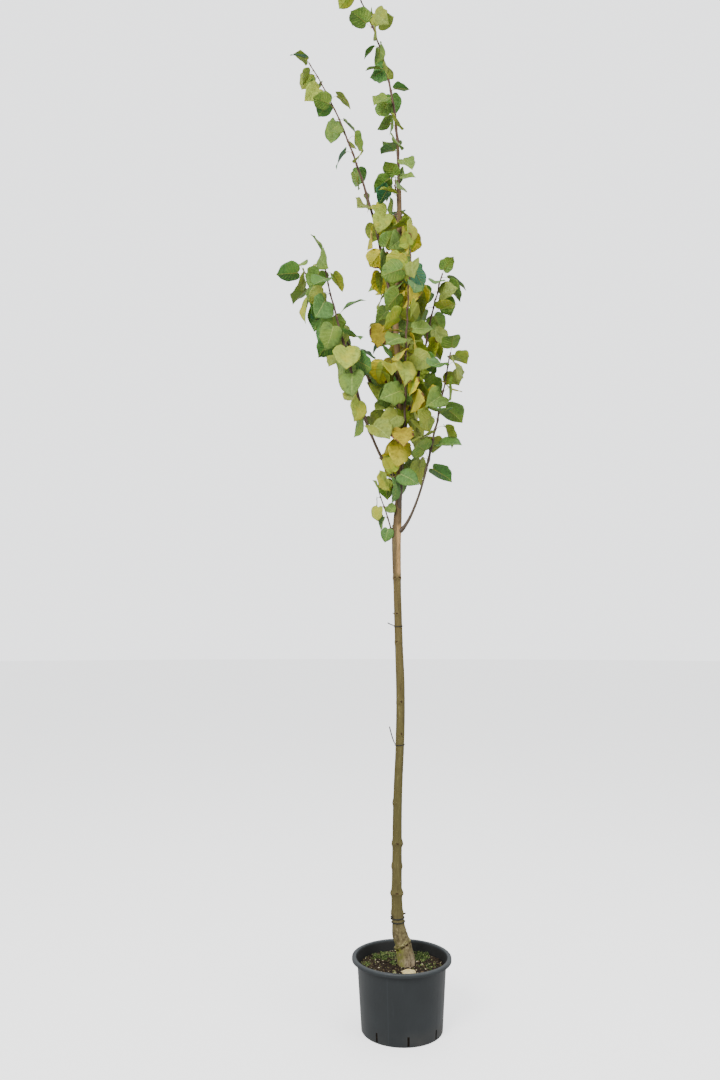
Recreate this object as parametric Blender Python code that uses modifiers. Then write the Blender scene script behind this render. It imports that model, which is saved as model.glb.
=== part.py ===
"""A young linden tree in a round nursery pot, in metres with +Z up.

The origin is the centre of the pot's flat underside. +X is the tree's right
and +Y its back. A slender trunk rises out of the soil and carries light
boughs near its top. Each bough ends where its leaves begin, and a foliage
mass goes on from there: one stem with alternate heart-shaped leaves on
stalks, placed by a seeded rule that skips a leaf with no room.
"""

import math
import random
from dataclasses import dataclass

import bmesh
import bpy
import numpy as np
from mathutils import Matrix, Vector
from mathutils.bvhtree import BVHTree

GAP = 0.0003            # clearance wherever two pieces meet
WELD = 0.00001

# Pot
POT_HEIGHT = 0.294
POT_FOOT_RADIUS = 0.172
POT_BODY_RADIUS = 0.189         # just under the lip
POT_MOUTH_RADIUS = 0.1935
POT_LIP_RADIUS = 0.2115
POT_LIP_DROP = 0.0145           # height of the turned-down lip
POT_WALL = 0.0025
POT_EDGE = 0.002                # small roundings
POT_SIDES = 36
SLOT_COUNT = 8
SLOT_WIDTH = 0.009
SLOT_LOW = 0.005
SLOT_HIGH = 0.042
SLOT_FIRST_AZIMUTH = -84.0      # degrees

# Soil
SOIL_HEIGHT = 0.257             # flat middle round the trunk's foot
SOIL_MIDDLE_RADIUS = 0.060
SOIL_EDGE_DROP = 0.006

# Trunk: height, sideways and backward offset, radius
TRUNK_STATIONS = (
    (SOIL_HEIGHT + GAP, 0.0215, 0.004, 0.0365),
    (0.333, 0.0085, 0.003, 0.0350),
    (0.378, -0.0056, 0.002, 0.0348),
    (0.428, -0.0135, 0.000, 0.0262),
    (0.508, -0.0190, -0.003, 0.0237),
    (0.648, -0.0185, -0.006, 0.0210),
    (0.938, -0.0140, -0.008, 0.0194),
    (1.168, -0.0035, -0.004, 0.0190),
    (1.388, 0.0014, 0.002, 0.0191),
    (1.588, -0.0038, 0.006, 0.0179),
    (1.838, -0.0104, 0.006, 0.0174),
    (2.068, -0.0134, 0.002, 0.0208),
    (2.148, -0.0090, 0.001, 0.0195),
    (2.288, -0.0020, -0.002, 0.0147),
    (2.468, 0.0045, -0.004, 0.0128),
    (2.668, 0.0060, -0.002, 0.0130),
    (2.868, 0.0010, 0.003, 0.0132),
    (3.073, -0.0122, 0.006, 0.0132),
    (3.238, -0.0036, 0.003, 0.0122),
    (3.558, 0.0078, -0.002, 0.0116),
    (3.741, 0.0055, -0.001, 0.0110),
)
TRUNK_SIDES = 12
TRUNK_RING_STEP = 0.13
TRUNK_RING_SPACE = 0.006        # the least height between two rings
TRUNK_BENDS = (0.298, 0.333, 0.378, 0.428, 2.068, 2.148, 2.218)     # rings where foot and fork curve
# Knobs left by old side shoots: height, azimuth in degrees, how far they stand out
TRUNK_KNOBS = (
    (0.470, 180.0, 0.0048),
    (0.470, 0.0, 0.0036),
    (0.553, 188.0, 0.0058),
    (0.553, -95.0, 0.0028),
    (0.553, -8.0, 0.0074),
    (0.553, 90.0, 0.0028),
    (0.664, 175.0, 0.0046),
    (0.664, 15.0, 0.0034),
    (0.759, 180.0, 0.0050),
    (0.759, -90.0, 0.0024),
    (0.759, 5.0, 0.0074),
    (0.930, 190.0, 0.0040),
    (1.220, -81.0, 0.0022),
    (1.358, -86.0, 0.0034),
    (1.619, -123.0, 0.0036),
    (1.743, -110.0, 0.0036),
    (1.904, -118.0, 0.0042),
    (1.904, -66.0, 0.0040),
    (1.904, 80.0, 0.0030),
)
KNOB_HEIGHT = 0.011
KNOB_SPREAD = 42.0              # degrees round the trunk

# Ties: height, azimuth of the tail, tail length outward and upward, radius
TIES = {
    "tie_foot_low": (0.431, 150.0, 0.007, 0.004, 0.0025),
    "tie_foot_high": (0.448, 200.0, 0.007, 0.004, 0.0025),
    "tie_middle": (1.172, 184.0, 0.024, 0.074, 0.0020),
    "tie_upper": (1.686, 182.0, 0.028, 0.012, 0.0020),
}
TIE_ROOM = 0.0009               # between a tie and the bark it goes round
TIE_CLIMB = 0.0016              # between the two ends of a tie's one turn
TIE_BEND = (0.45, 0.35)         # where the tail bends, in its lengths outward and upward

# Leaves
LEAF_HALF_OUTLINE = ((0.0, 0.0), (-0.10, 0.23), (0.24, 0.49), (0.66, 0.38), (1.0, 0.0))
LEAF_MIDRIB = (0.45, 0.0)
LEAF_FACES = ((0, 1, 2), (0, 2, 5), (5, 2, 3), (5, 3, 4))
LEAF_THICKNESS = 0.013          # in blade lengths
LEAF_ROOM = 0.055               # thickness of the space that a blade keeps free
LEAF_CUPS = ((0.16, 0.16), (0.34, 0.28), (0.05, 0.40), (0.24, 0.05))    # fold, curl
STALK_FOOT = 0.0018             # a stalk is three-sided, thicker where it is sunk in the stem
STALK_ELBOW = 0.0013
END_FOOT = 0.0011               # the end leaf's stalk goes on from the stem's tip
END_SINK = 0.008
STALK_RIM = 0.07                # where its third corner meets the blade's rim, from notch to lobe
STALK_ROOM = 0.0035
STALK_CORNERS = ((-0.5, 0.866), (1.0, 0.0), (-0.5, -0.866))
LEAF_TRIES = 14
NODE_KINK = 0.0025              # how far a stem steps away from each leaf
NODE_STEP = 0.006               # a leaf's foot is this far past the kink
TWIG_WAVE = 0.006
FUSING = "EXACT"                # the solver that fuses leaves to stems
BEAD_STEP = 0.009


@dataclass
class Shoot:
    """A bough with its foliage, or a leafy twig, as named sizes."""

    name: str
    azimuth: float              # degrees, 0 to the right, 90 to the back
    start: float                # height on the trunk
    rise: float
    reach: float
    power: float                # 1 is straight, under 1 leaves the trunk fast
    root: float                 # radius at the trunk
    tip: float
    bare: float                 # share of its rise before the leaves begin
    leaves: int
    blades: tuple               # blade length of the lowest and the highest leaf
    space: float                # how far from its stem a leaf may reach
    spread: float               # azimuth of the two rows of leaves to either side of the shoot's own
    seeds: tuple                # for its lower, middle and upper leaves
    lean: float = 0.0           # share of the reach that is gained evenly
    crowd: float = 1.1          # above 1 the leaves stand closer towards the tip
    bough: bool = True

    def dice(self, index, attempt=0):
        seed = self.seeds[index * len(self.seeds) // self.leaves]
        return random.Random(seed * 9973 + index * 131 + attempt)


SHOOTS = (
    Shoot("leader", 180, 3.741, 1.020, 0.205, 2.35, 0.0056, 0.0018, 0.0,
          19, (0.098, 0.088), 0.125, 75, (112, 137, 201), crowd=1.2, bough=False),
    Shoot("upper_left", 150, 3.068, 1.490, 0.495, 2.60, 0.0060, 0.0018, 0.15,
          20, (0.100, 0.096), 0.125, 70, (112, 185, 205), lean=0.55, crowd=1.35),
    Shoot("lower_left", 202, 2.348, 1.000, 0.375, 0.62, 0.0062, 0.0018, 0.17,
          16, (0.122, 0.102), 0.150, 62, (67, 13, 125)),
    Shoot("middle_left", 163, 2.548, 0.860, 0.485, 1.05, 0.0058, 0.0018, 0.22,
          15, (0.112, 0.108), 0.150, 62, (76, 188, 65)),
    Shoot("lower_right", -25, 2.108, 0.800, 0.262, 0.56, 0.0056, 0.0018, 0.30,
          14, (0.122, 0.104), 0.155, 55, (202, 101, 152)),
    Shoot("upper_right", 35, 2.488, 0.900, 0.265, 1.00, 0.0058, 0.0018, 0.26,
          16, (0.112, 0.100), 0.150, 62, (73, 44, 40)),
    Shoot("front", -65, 2.208, 1.180, 0.125, 0.60, 0.0052, 0.0016, 0.16,
          19, (0.112, 0.096), 0.145, 75, (21, 62, 84)),
    Shoot("back", 97, 2.608, 0.850, 0.300, 1.00, 0.0054, 0.0018, 0.26,
          14, (0.110, 0.098), 0.150, 62, (225, 126, 138)),
    Shoot("fork_twig", 185, 2.048, 0.250, 0.082, 1.00, 0.0032, 0.0014, 0.15,
          5, (0.066, 0.060), 0.090, 45, (63,), bough=False),
)

# Short leafy twigs that stand straight on the trunk among the boughs
SPUR_COUNT = 14
SPUR_LOW = 2.248
SPUR_HIGH = 3.668
SPUR_FIRST_AZIMUTH = -100.0
GOLDEN_ANGLE = 137.5
SPUR_RISE = 0.085
SPUR_REACH = 0.055
SPUR_ROOT = 0.0030
SPUR_TIP = 0.0014
SPUR_LEAVES = 3
SPUR_BLADES = (0.106, 0.100)
SPUR_SPACE = 0.150
SPUR_SPREAD = 62.0
SPUR_SEED = 56
SPUR_TURN = 25.0                # degrees turned and height gained when a limb is in the way
SPUR_CLIMB = 0.012
SPUR_TURNS = 12
SPUR_ROOM = 0.012

COLOURS = {
    "pot": ((0.030, 0.033, 0.038), 0.45),
    "soil": ((0.060, 0.042, 0.030), 0.95),
    "trunk": ((0.235, 0.200, 0.120), 0.80),
    "bough": ((0.130, 0.062, 0.038), 0.60),
    "foliage": ((0.190, 0.280, 0.060), 0.55),
    "tie": ((0.020, 0.020, 0.022), 0.50),
}


def blend(low, high, share):
    return low + (high - low) * share


def bearing(degrees):
    """Horizontal unit vector at an azimuth."""
    return Vector((math.cos(math.radians(degrees)), math.sin(math.radians(degrees)), 0.0))


def trunk_at(height):
    """Centre and plain radius of the trunk, smooth between its stations."""
    stations = TRUNK_STATIONS
    last = len(stations) - 2
    index = 0
    while index < last and height > stations[index + 1][0]:
        index += 1
    before = stations[max(index - 1, 0)]
    low = stations[index]
    high = stations[index + 1]
    after = stations[min(index + 2, last + 1)]
    span = high[0] - low[0]
    share = min(max((height - low[0]) / span, 0.0), 1.0)
    values = []
    for axis in (1, 2, 3):
        slope_low = (high[axis] - before[axis]) / max(high[0] - before[0], WELD) * span
        slope_high = (after[axis] - low[axis]) / max(after[0] - low[0], WELD) * span
        square = share * share
        cube = square * share
        values.append((2 * cube - 3 * square + 1) * low[axis] + (cube - 2 * square + share) * slope_low
                      + (3 * square - 2 * cube) * high[axis] + (cube - square) * slope_high)
    return Vector((values[0], values[1], height)), values[2]


def knob_at(height, azimuth):
    """How far old knobs lift the bark at a height and azimuth."""
    lift = 0.0
    for knob_height, knob_azimuth, size in TRUNK_KNOBS:
        turn = (azimuth - knob_azimuth + 180.0) % 360.0 - 180.0
        lift += size * math.exp(-((height - knob_height) / KNOB_HEIGHT) ** 2 - (turn / KNOB_SPREAD) ** 2)
    return lift


def shoot_point(shoot, share):
    """Point on a shoot's axis, from the trunk's axis at 0 to its tip at 1."""
    foot, _ = trunk_at(shoot.start)
    out = shoot.reach * (shoot.lean * share + (1.0 - shoot.lean) * share ** shoot.power)
    wave = TWIG_WAVE * math.sin(math.radians(shoot.azimuth) + 9.0 * share) * share
    return (foot + bearing(shoot.azimuth) * out + bearing(shoot.azimuth + 90.0) * wave
            + Vector((0.0, 0.0, shoot.rise * share)))


def shoot_radius(shoot, share):
    return blend(shoot.root, shoot.tip, share ** 0.9)


def shoot_direction(shoot, share):
    step = 0.01
    low = max(share - step, 0.0)
    high = min(share + step, 1.0)
    return (shoot_point(shoot, high) - shoot_point(shoot, low)).normalized()


def leaf_surface(fold, curl, thickness):
    """Corners and faces of one blade of unit length, its stalk end at the origin."""
    half = [Vector((x, y, fold * y - curl * max(x - 0.1, 0.0) ** 2))
            for x, y in LEAF_HALF_OUTLINE + (LEAF_MIDRIB,)]
    mesh = bpy.data.meshes.new("blade")
    mesh.from_pydata(half, [], LEAF_FACES)
    guide = bpy.data.objects.new("blade", mesh)
    bpy.context.scene.collection.objects.link(guide)
    mirror = guide.modifiers.new("Both halves", "MIRROR")
    mirror.use_axis = (False, True, False)
    mirror.merge_threshold = WELD
    shell = guide.modifiers.new("Thickness", "SOLIDIFY")
    shell.thickness = thickness
    shell.offset = 0.0
    bpy.context.view_layer.update()
    made = guide.evaluated_get(bpy.context.evaluated_depsgraph_get()).data
    corners = np.array([corner.co for corner in made.vertices])
    faces = [tuple(face.vertices) for face in made.polygons]
    bpy.data.objects.remove(guide)
    return corners, faces


@dataclass
class Leaf:
    """A stalk as three points, from inside the stem to the blade, and a placed blade."""

    stalk: list
    foot: float                 # radius of the stalk in the stem
    place: Matrix
    cup: int
    length: float
    order: float                # 0 for a shoot's lowest leaf, 1 for its highest

    def corners(self, shape):
        turned = np.array(self.place.to_3x3())
        return shape @ turned.T + np.array(self.place.translation)


class Room:
    """The space already taken: blades as closed surfaces, limbs and stalks as beads."""

    def __init__(self):
        self.thick = [leaf_surface(fold, curl, LEAF_ROOM) for fold, curl in LEAF_CUPS]
        self.blades = []
        self.limbs = np.zeros((0, 4))
        self.owners = []
        self.stalks = np.zeros((0, 4))

    def add_limb(self, owner, points, radii):
        for index in range(len(points) - 1):
            span = points[index + 1] - points[index]
            count = max(2, math.ceil(span.length / BEAD_STEP))
            for step in range(count):
                share = step / count
                bead = (*(points[index] + span * share), blend(radii[index], radii[index + 1], share))
                self.limbs = np.vstack((self.limbs, bead))
                self.owners.append(owner)

    def stalk_beads(self, leaf):
        beads = []
        for low, high in zip(leaf.stalk[:-1], leaf.stalk[1:]):
            beads += [(*low.lerp(high, share), STALK_FOOT) for share in (0.34, 0.67, 1.0)]
        return np.array(beads)

    def blade_tree(self, leaf):
        shape, faces = self.thick[leaf.cup]
        corners = leaf.corners(shape)
        middle = corners.mean(axis=0)
        reach = float(np.linalg.norm(corners - middle, axis=1).max())
        return middle, reach, BVHTree.FromPolygons(corners.tolist(), faces)

    def clear_of_beads(self, blade, beads):
        middle, reach, tree = blade
        if len(beads) == 0:
            return True
        near = beads[np.linalg.norm(beads[:, :3] - middle, axis=1) < reach + 0.03]
        return all(tree.find_nearest(bead[:3], bead[3] + STALK_ROOM)[0] is None for bead in near)

    def admits(self, owner, leaf):
        """True where the leaf touches no limb, stalk or blade that is there already."""
        blade = self.blade_tree(leaf)
        if not self.clear_of_beads(blade, self.limbs):
            return False
        if not self.clear_of_beads(blade, self.stalks):
            return False
        for middle, reach, tree in self.blades:
            if np.linalg.norm(middle - blade[0]) < reach + blade[1] and blade[2].overlap(tree):
                return False
        beads = self.stalk_beads(leaf)
        for bead in beads:
            others = self.limbs[[name != owner for name in self.owners]] if len(self.limbs) else self.limbs
            for group in (others, self.stalks):
                if len(group) and (np.linalg.norm(group[:, :3] - bead[:3], axis=1)
                                   < group[:, 3] + bead[3] + STALK_ROOM * 0.5).any():
                    return False
            for middle, reach, tree in self.blades:
                if np.linalg.norm(middle - bead[:3]) < reach + 0.01:
                    if tree.find_nearest(bead[:3], bead[3] + STALK_ROOM * 0.5)[0] is not None:
                        return False
        return True

    def take(self, leaf):
        self.blades.append(self.blade_tree(leaf))
        self.stalks = np.vstack((self.stalks, self.stalk_beads(leaf)))


def draw_leaf(shoot, node, direction, rank, order, dice):
    """One leaf at a node: its stalk leaves the stem, its blade hangs from the stalk."""
    length = blend(*shoot.blades, order) * dice.uniform(0.86, 1.12)
    outward = bearing(rank)
    lift = math.radians(dice.uniform(42.0, 74.0))
    stalk_way = (direction * math.cos(lift) + outward * math.sin(lift)).normalized()
    stalk_length = length * dice.uniform(0.38, 0.55)
    heading = bearing(rank + dice.gauss(0.0, 26.0))
    droop = math.radians(min(max(dice.gauss(38.0, 26.0), -25.0), 86.0))
    roll = math.radians(min(max(dice.gauss(0.0, 52.0), -86.0), 86.0))
    stalk = (node, stalk_way, stalk_length, STALK_FOOT)
    return hang_leaf(stalk, heading, droop, roll, length, order, dice)


def draw_end_leaf(shoot, node, direction, dice):
    """The leaf at a shoot's very tip, which points on along the shoot."""
    length = shoot.blades[1] * dice.uniform(0.74, 0.86)
    heading = bearing(dice.uniform(0.0, 360.0))
    droop = math.radians(dice.uniform(-62.0, -30.0))
    roll = math.radians(dice.uniform(-60.0, 60.0))
    stalk = (node - direction * END_SINK, direction, length * 0.25 + END_SINK, END_FOOT)
    return hang_leaf(stalk, heading, droop, roll, length, 1.0, dice)


def hang_leaf(stalk, heading, droop, roll, length, order, dice):
    node, stalk_way, stalk_length, foot = stalk
    elbow = node + stalk_way * stalk_length * 0.55
    forward = heading * math.cos(droop) - Vector((0.0, 0.0, math.sin(droop)))
    joint = elbow + (stalk_way + forward).normalized() * stalk_length * 0.45
    up = Vector((0.0, 0.0, 1.0))
    upper = (up - forward * up.dot(forward)).normalized()
    upper = Matrix.Rotation(roll, 3, forward) @ upper
    side = upper.cross(forward)
    turn = Matrix((forward, side, upper)).transposed()
    place = Matrix.Translation(joint) @ turn.to_4x4() @ Matrix.Scale(length, 4)
    return Leaf([node, elbow, joint], foot, place, dice.randrange(len(LEAF_CUPS)), length, order)


@dataclass
class Growth:
    """What one shoot has grown: the bare bough, the leafy stem and its leaves."""

    shoot: Shoot
    bough: list                 # points
    bough_radii: list
    stem: list
    stem_radii: list
    leaves: list


def leaf_share(shoot, index):
    """Where the leaf of that number sits; the steps shorten towards the tip."""
    share = (index + 0.6) / (shoot.leaves - 0.4)
    return shoot.bare + (1.0 - shoot.bare) * (1.0 - (1.0 - min(share, 1.0)) ** shoot.crowd)


def rank_of(shoot, index, dice):
    """Azimuth of the row that a leaf stands in: to either side of the shoot's own by turns."""
    return shoot.azimuth + shoot.spread * (1.0 - 2.0 * (index % 2)) + dice.gauss(0.0, 30.0)


def shoot_frame(shoot):
    """Points and radii of a shoot's bough and stem, with no leaves yet."""
    bough = []
    bough_radii = []
    if shoot.bough:
        steps = 9
        for step in range(steps):
            share = shoot.bare * (step / steps) ** 1.5
            bough.append(shoot_point(shoot, share))
            bough_radii.append(shoot_radius(shoot, share))
    joint = shoot_point(shoot, shoot.bare if shoot.bough else 0.0)
    along = shoot_direction(shoot, shoot.bare if shoot.bough else 0.005)
    radius = shoot_radius(shoot, shoot.bare if shoot.bough else 0.0)
    if shoot.bough:
        bough += [joint - along * 0.006, joint]
        bough_radii += [radius, radius]
        stem = [joint + along * GAP, joint + along * 0.006]
        radii = [radius, radius]
    else:
        stem = [joint, shoot_point(shoot, 0.04)]
        radii = [radius, shoot_radius(shoot, 0.04)]
    for index in range(shoot.leaves):
        share = leaf_share(shoot, index)
        rank = rank_of(shoot, index, shoot.dice(index))
        point = shoot_point(shoot, share) - bearing(rank) * NODE_KINK
        if (point - stem[-1]).length > 0.012:
            stem.append(point)
            radii.append(shoot_radius(shoot, share))
    return Growth(shoot, bough, bough_radii, stem, radii, [])


def leaf_foot(stem, point):
    """Where a stalk starts: on the stem's axis, a step past the kink nearest to a point."""
    index = min(range(len(stem) - 1), key=lambda number: (stem[number] - point).length)
    return stem[index] + (stem[index + 1] - stem[index]).normalized() * NODE_STEP


def stays_near(growth, leaf):
    """True where the blade's outline keeps to the space round its own stem."""
    for x, y in LEAF_HALF_OUTLINE:
        for side in (-1.0, 1.0):
            corner = leaf.place @ Vector((x, y * side, 0.0))
            nearest = min((corner - limb_point(low, high, corner)).length
                          for low, high in zip(growth.stem[:-1], growth.stem[1:]))
            if nearest > growth.shoot.space:
                return False
    return True


def limb_point(low, high, corner):
    """Nearest point to a corner on the stretch of limb between two points."""
    span = high - low
    share = (corner - low).dot(span) / span.length_squared
    return low + span * min(max(share, 0.0), 1.0)


def grow_leaves(growth, room):
    """Hang the leaves of one shoot wherever there is room for them."""
    shoot = growth.shoot
    for index in range(shoot.leaves):
        share = leaf_share(shoot, index)
        node = leaf_foot(growth.stem, shoot_point(shoot, share))
        direction = shoot_direction(shoot, share)
        order = index / max(shoot.leaves - 1, 1)
        for attempt in range(LEAF_TRIES):
            dice = shoot.dice(index, attempt)
            rank = rank_of(shoot, index, dice) + dice.uniform(-9.0, 9.0) * attempt
            if index == shoot.leaves - 1:
                along = (growth.stem[-1] - growth.stem[-2]).normalized()
                leaf = draw_end_leaf(shoot, growth.stem[-1], along, dice)
            else:
                leaf = draw_leaf(shoot, node, direction, rank, order, dice)
            if stays_near(growth, leaf) and room.admits(shoot.name, leaf):
                room.take(leaf)
                growth.leaves.append(leaf)
                break


def spur_shoots(room):
    """Short twigs up the trunk, each turned to a side where no limb is in its way."""
    spurs = []
    for index in range(SPUR_COUNT):
        share = index / (SPUR_COUNT - 1)
        for turn in range(SPUR_TURNS):
            sign = 1.0 if turn % 2 else -1.0
            azimuth = SPUR_FIRST_AZIMUTH + GOLDEN_ANGLE * index + sign * SPUR_TURN * ((turn + 1) // 2)
            start = blend(SPUR_LOW, SPUR_HIGH, share) + SPUR_CLIMB * turn
            spur = Shoot(f"trunk_{index + 1:02d}", azimuth, start, SPUR_RISE,
                         SPUR_REACH, 0.7, SPUR_ROOT, SPUR_TIP, 0.5, SPUR_LEAVES, SPUR_BLADES,
                         SPUR_SPACE, SPUR_SPREAD, (SPUR_SEED + index,), bough=False)
            frame = shoot_frame(spur)
            if stem_is_clear(frame, room):
                break
        room.add_limb(spur.name, frame.stem, frame.stem_radii)
        spurs.append(frame)
    return spurs


def stem_is_clear(frame, room):
    others = room.limbs[[name != "trunk" for name in room.owners]]
    for low, high in zip(frame.stem[:-1], frame.stem[1:]):
        for share in (0.0, 0.25, 0.5, 0.75, 1.0):
            point = np.array(low.lerp(high, share))
            if (np.linalg.norm(others[:, :3] - point, axis=1) < others[:, 3] + SPUR_ROOM).any():
                return False
    return True


def trunk_heights():
    """Ring heights: even steps, one at each bend and tie, three at each knob."""
    low = TRUNK_STATIONS[0][0]
    high = TRUNK_STATIONS[-1][0]
    heights = {low, high, *TRUNK_BENDS}
    count = round((high - low) / TRUNK_RING_STEP)
    for step in range(1, count):
        heights.add(round(low + (high - low) * step / count, 4))
    for knob_height, _, _ in TRUNK_KNOBS:
        for shift in (-KNOB_HEIGHT, 0.0, KNOB_HEIGHT):
            heights.add(round(knob_height + shift, 4))
    for tie_height, _, _, _, wire in TIES.values():
        heights.add(round(tie_height + wire, 4))
    kept = []
    for height in sorted(heights):
        if not kept or height - kept[-1] > TRUNK_RING_SPACE:
            kept.append(height)
    kept[-1] = high
    return kept


def lay_out_crown():
    """Frames first, so every limb is known, and then the leaves of each shoot in turn."""
    room = Room()
    heights = trunk_heights()
    places = [trunk_at(height) for height in heights]
    room.add_limb("trunk", [place[0] for place in places], [place[1] for place in places])
    growths = []
    for shoot in SHOOTS:
        frame = shoot_frame(shoot)
        room.add_limb(shoot.name, frame.bough + frame.stem, frame.bough_radii + frame.stem_radii)
        growths.append(frame)
    growths += spur_shoots(room)
    for growth in growths:
        grow_leaves(growth, room)
    return growths


def principled(name, colour, roughness):
    material = bpy.data.materials.new(name)
    material.use_nodes = True
    shader = material.node_tree.nodes["Principled BSDF"]
    shader.inputs["Base Color"].default_value = (*colour, 1.0)
    shader.inputs["Roughness"].default_value = roughness
    shader.inputs["Metallic"].default_value = 0.0
    return material


class Workshop:
    """Collections, materials and the few ways in which this tree's pieces are made."""

    def __init__(self):
        self.parts = bpy.data.collections.new("linden_tree")
        self.cutters = bpy.data.collections.new("cutters")
        bpy.context.scene.collection.children.link(self.parts)
        bpy.context.scene.collection.children.link(self.cutters)
        self.materials = {name: principled(name, *look) for name, look in COLOURS.items()}
        self.blades = [leaf_surface(fold, curl, LEAF_THICKNESS) for fold, curl in LEAF_CUPS]

    def finish(self, piece, material, smooth=None):
        piece.data.materials.clear()
        piece.data.materials.append(self.materials[material])
        if smooth is not None:
            piece.data.shade_smooth()
            piece.data.set_sharp_from_angle(angle=math.radians(smooth))
        return piece

    def add(self, name, mesh, collection=None):
        piece = bpy.data.objects.new(name, mesh)
        (collection or self.parts).objects.link(piece)
        return piece

    def turned(self, name, profile):
        """A turned solid from a profile that runs down its outer side."""
        mesh = bpy.data.meshes.new(name)
        mesh.from_pydata([(radius, 0.0, height) for radius, height in profile],
                         [(index, index + 1) for index in range(len(profile) - 1)], [])
        piece = self.add(name, mesh)
        screw = piece.modifiers.new("Turned", "SCREW")
        screw.steps = POT_SIDES
        screw.render_steps = POT_SIDES
        screw.use_merge_vertices = True
        screw.merge_threshold = 0.0001
        return piece

    def drawn(self, name, points, radii, resolution):
        """A tapering tube with closed ends, as a welded mesh."""
        curve = bpy.data.curves.new(name, "CURVE")
        curve.dimensions = "3D"
        curve.use_fill_caps = True
        curve.bevel_depth = max(radii)
        curve.bevel_resolution = resolution
        spline = curve.splines.new("POLY")
        spline.points.add(len(points) - 1)
        for point, place, radius in zip(spline.points, points, radii):
            point.co = (*place, 1.0)
            point.radius = radius / curve.bevel_depth
        guide = self.add(name, curve)
        bpy.context.view_layer.update()
        graph = bpy.context.evaluated_depsgraph_get()
        mesh = bpy.data.meshes.new_from_object(guide.evaluated_get(graph))
        place = guide.matrix_world.copy()
        bpy.data.objects.remove(guide)
        work = bmesh.new()
        work.from_mesh(mesh)
        bmesh.ops.remove_doubles(work, verts=work.verts, dist=WELD)
        bmesh.ops.recalc_face_normals(work, faces=work.faces)
        work.to_mesh(mesh)
        work.free()
        piece = self.add(name, mesh)
        piece.matrix_world = place
        return piece

    def apply(self, piece):
        """Replace a piece's mesh by what its modifiers make of it, in triangles."""
        bpy.context.view_layer.update()
        graph = bpy.context.evaluated_depsgraph_get()
        mesh = bpy.data.meshes.new_from_object(piece.evaluated_get(graph))
        piece.modifiers.clear()
        piece.data = mesh
        work = tidied(mesh, WELD)
        if not all(edge.is_manifold for edge in work.edges):
            work.free()
            work = tidied(mesh, 0.0)
        work.to_mesh(mesh)
        work.free()

    def cut(self, piece, cutter):
        boolean = piece.modifiers.new("Clear of the trunk", "BOOLEAN")
        boolean.operation = "DIFFERENCE"
        boolean.solver = "EXACT"
        boolean.object = cutter
        self.apply(piece)

    def leaves_of(self, name, leaves):
        """All of a mass's leaves, each one closed body: its three-sided stalk runs into its blade."""
        corners = []
        faces = []
        for leaf in leaves:
            shape, blade_faces = self.blades[leaf.cup]
            notch = [index for index, corner in enumerate(shape) if abs(corner[0]) + abs(corner[1]) < 0.01]
            upper, lower = sorted(notch, key=lambda index: -shape[index][2])
            rim = next(face for face in blade_faces if upper in face and lower in face
                       and sum(shape[corner][1] for corner in face) > 0.0)
            first = len(corners)
            middle = first + len(shape)
            fold = LEAF_CUPS[leaf.cup][0]
            lobe = LEAF_HALF_OUTLINE[1]
            meeting = (lobe[0] * STALK_RIM, lobe[1] * STALK_RIM, lobe[1] * STALK_RIM * fold)
            corners += leaf.corners(np.vstack((shape, meeting))).tolist()
            faces += [tuple(first + corner for corner in face) for face in blade_faces if face != rim]
            outer = [corner for corner in rim if corner not in notch]
            outer.sort(key=lambda index: -shape[index][2])
            faces.append((first + upper, first + outer[0], first + outer[1], first + lower, middle))
            ring = (first + upper, middle, first + lower)
            for place in (1, 0):
                earlier = ring
                start = len(corners)
                corners += stalk_ring(leaf, place)
                ring = (start, start + 1, start + 2)
                for side in range(3):
                    other = (side + 1) % 3
                    faces.append((earlier[side], earlier[other], ring[other], ring[side]))
            faces.append(ring)
        mesh = bpy.data.meshes.new(name)
        mesh.from_pydata(corners, [], faces)
        work = bmesh.new()
        work.from_mesh(mesh)
        bmesh.ops.triangulate(work, faces=work.faces)
        bmesh.ops.recalc_face_normals(work, faces=work.faces)
        work.to_mesh(mesh)
        work.free()
        return self.add(name, mesh)


def stalk_ring(leaf, place):
    """Three corners round a stalk's foot (0) or elbow (1), turned on from the blade's own frame."""
    turned = leaf.place.to_3x3().normalized()
    forward, side, upper = turned.col[0], turned.col[1], turned.col[2]
    foot, elbow, joint = leaf.stalk
    way = (elbow - foot).normalized()
    if place == 1:
        way = (way + (joint - elbow).normalized()).normalized()
    turn = forward.rotation_difference(way)
    radius = (leaf.foot, min(leaf.foot, STALK_ELBOW))[place]
    return [list(leaf.stalk[place] + (turn @ side * across + turn @ upper * above) * radius)
            for across, above in STALK_CORNERS]


def tidied(mesh, merge):
    """The mesh's largest body in triangles, with corners closer than the merge distance joined."""
    work = bmesh.new()
    work.from_mesh(mesh)
    if merge:
        bmesh.ops.remove_doubles(work, verts=work.verts, dist=merge)
        bmesh.ops.dissolve_degenerate(work, edges=work.edges, dist=merge)
    keep_largest_body(work)
    bmesh.ops.triangulate(work, faces=work.faces)
    return work


def keep_largest_body(work):
    """Drop loose scraps and sealed hollows, which are bodies apart from the largest."""
    work.verts.ensure_lookup_table()
    seen = set()
    bodies = []
    for start in work.verts:
        if start in seen:
            continue
        body = []
        waiting = [start]
        seen.add(start)
        while waiting:
            corner = waiting.pop()
            body.append(corner)
            for edge in corner.link_edges:
                other = edge.other_vert(corner)
                if other not in seen:
                    seen.add(other)
                    waiting.append(other)
        bodies.append(body)
    bodies.sort(key=len)
    for body in bodies[:-1]:
        bmesh.ops.delete(work, geom=body, context="VERTS")


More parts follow.
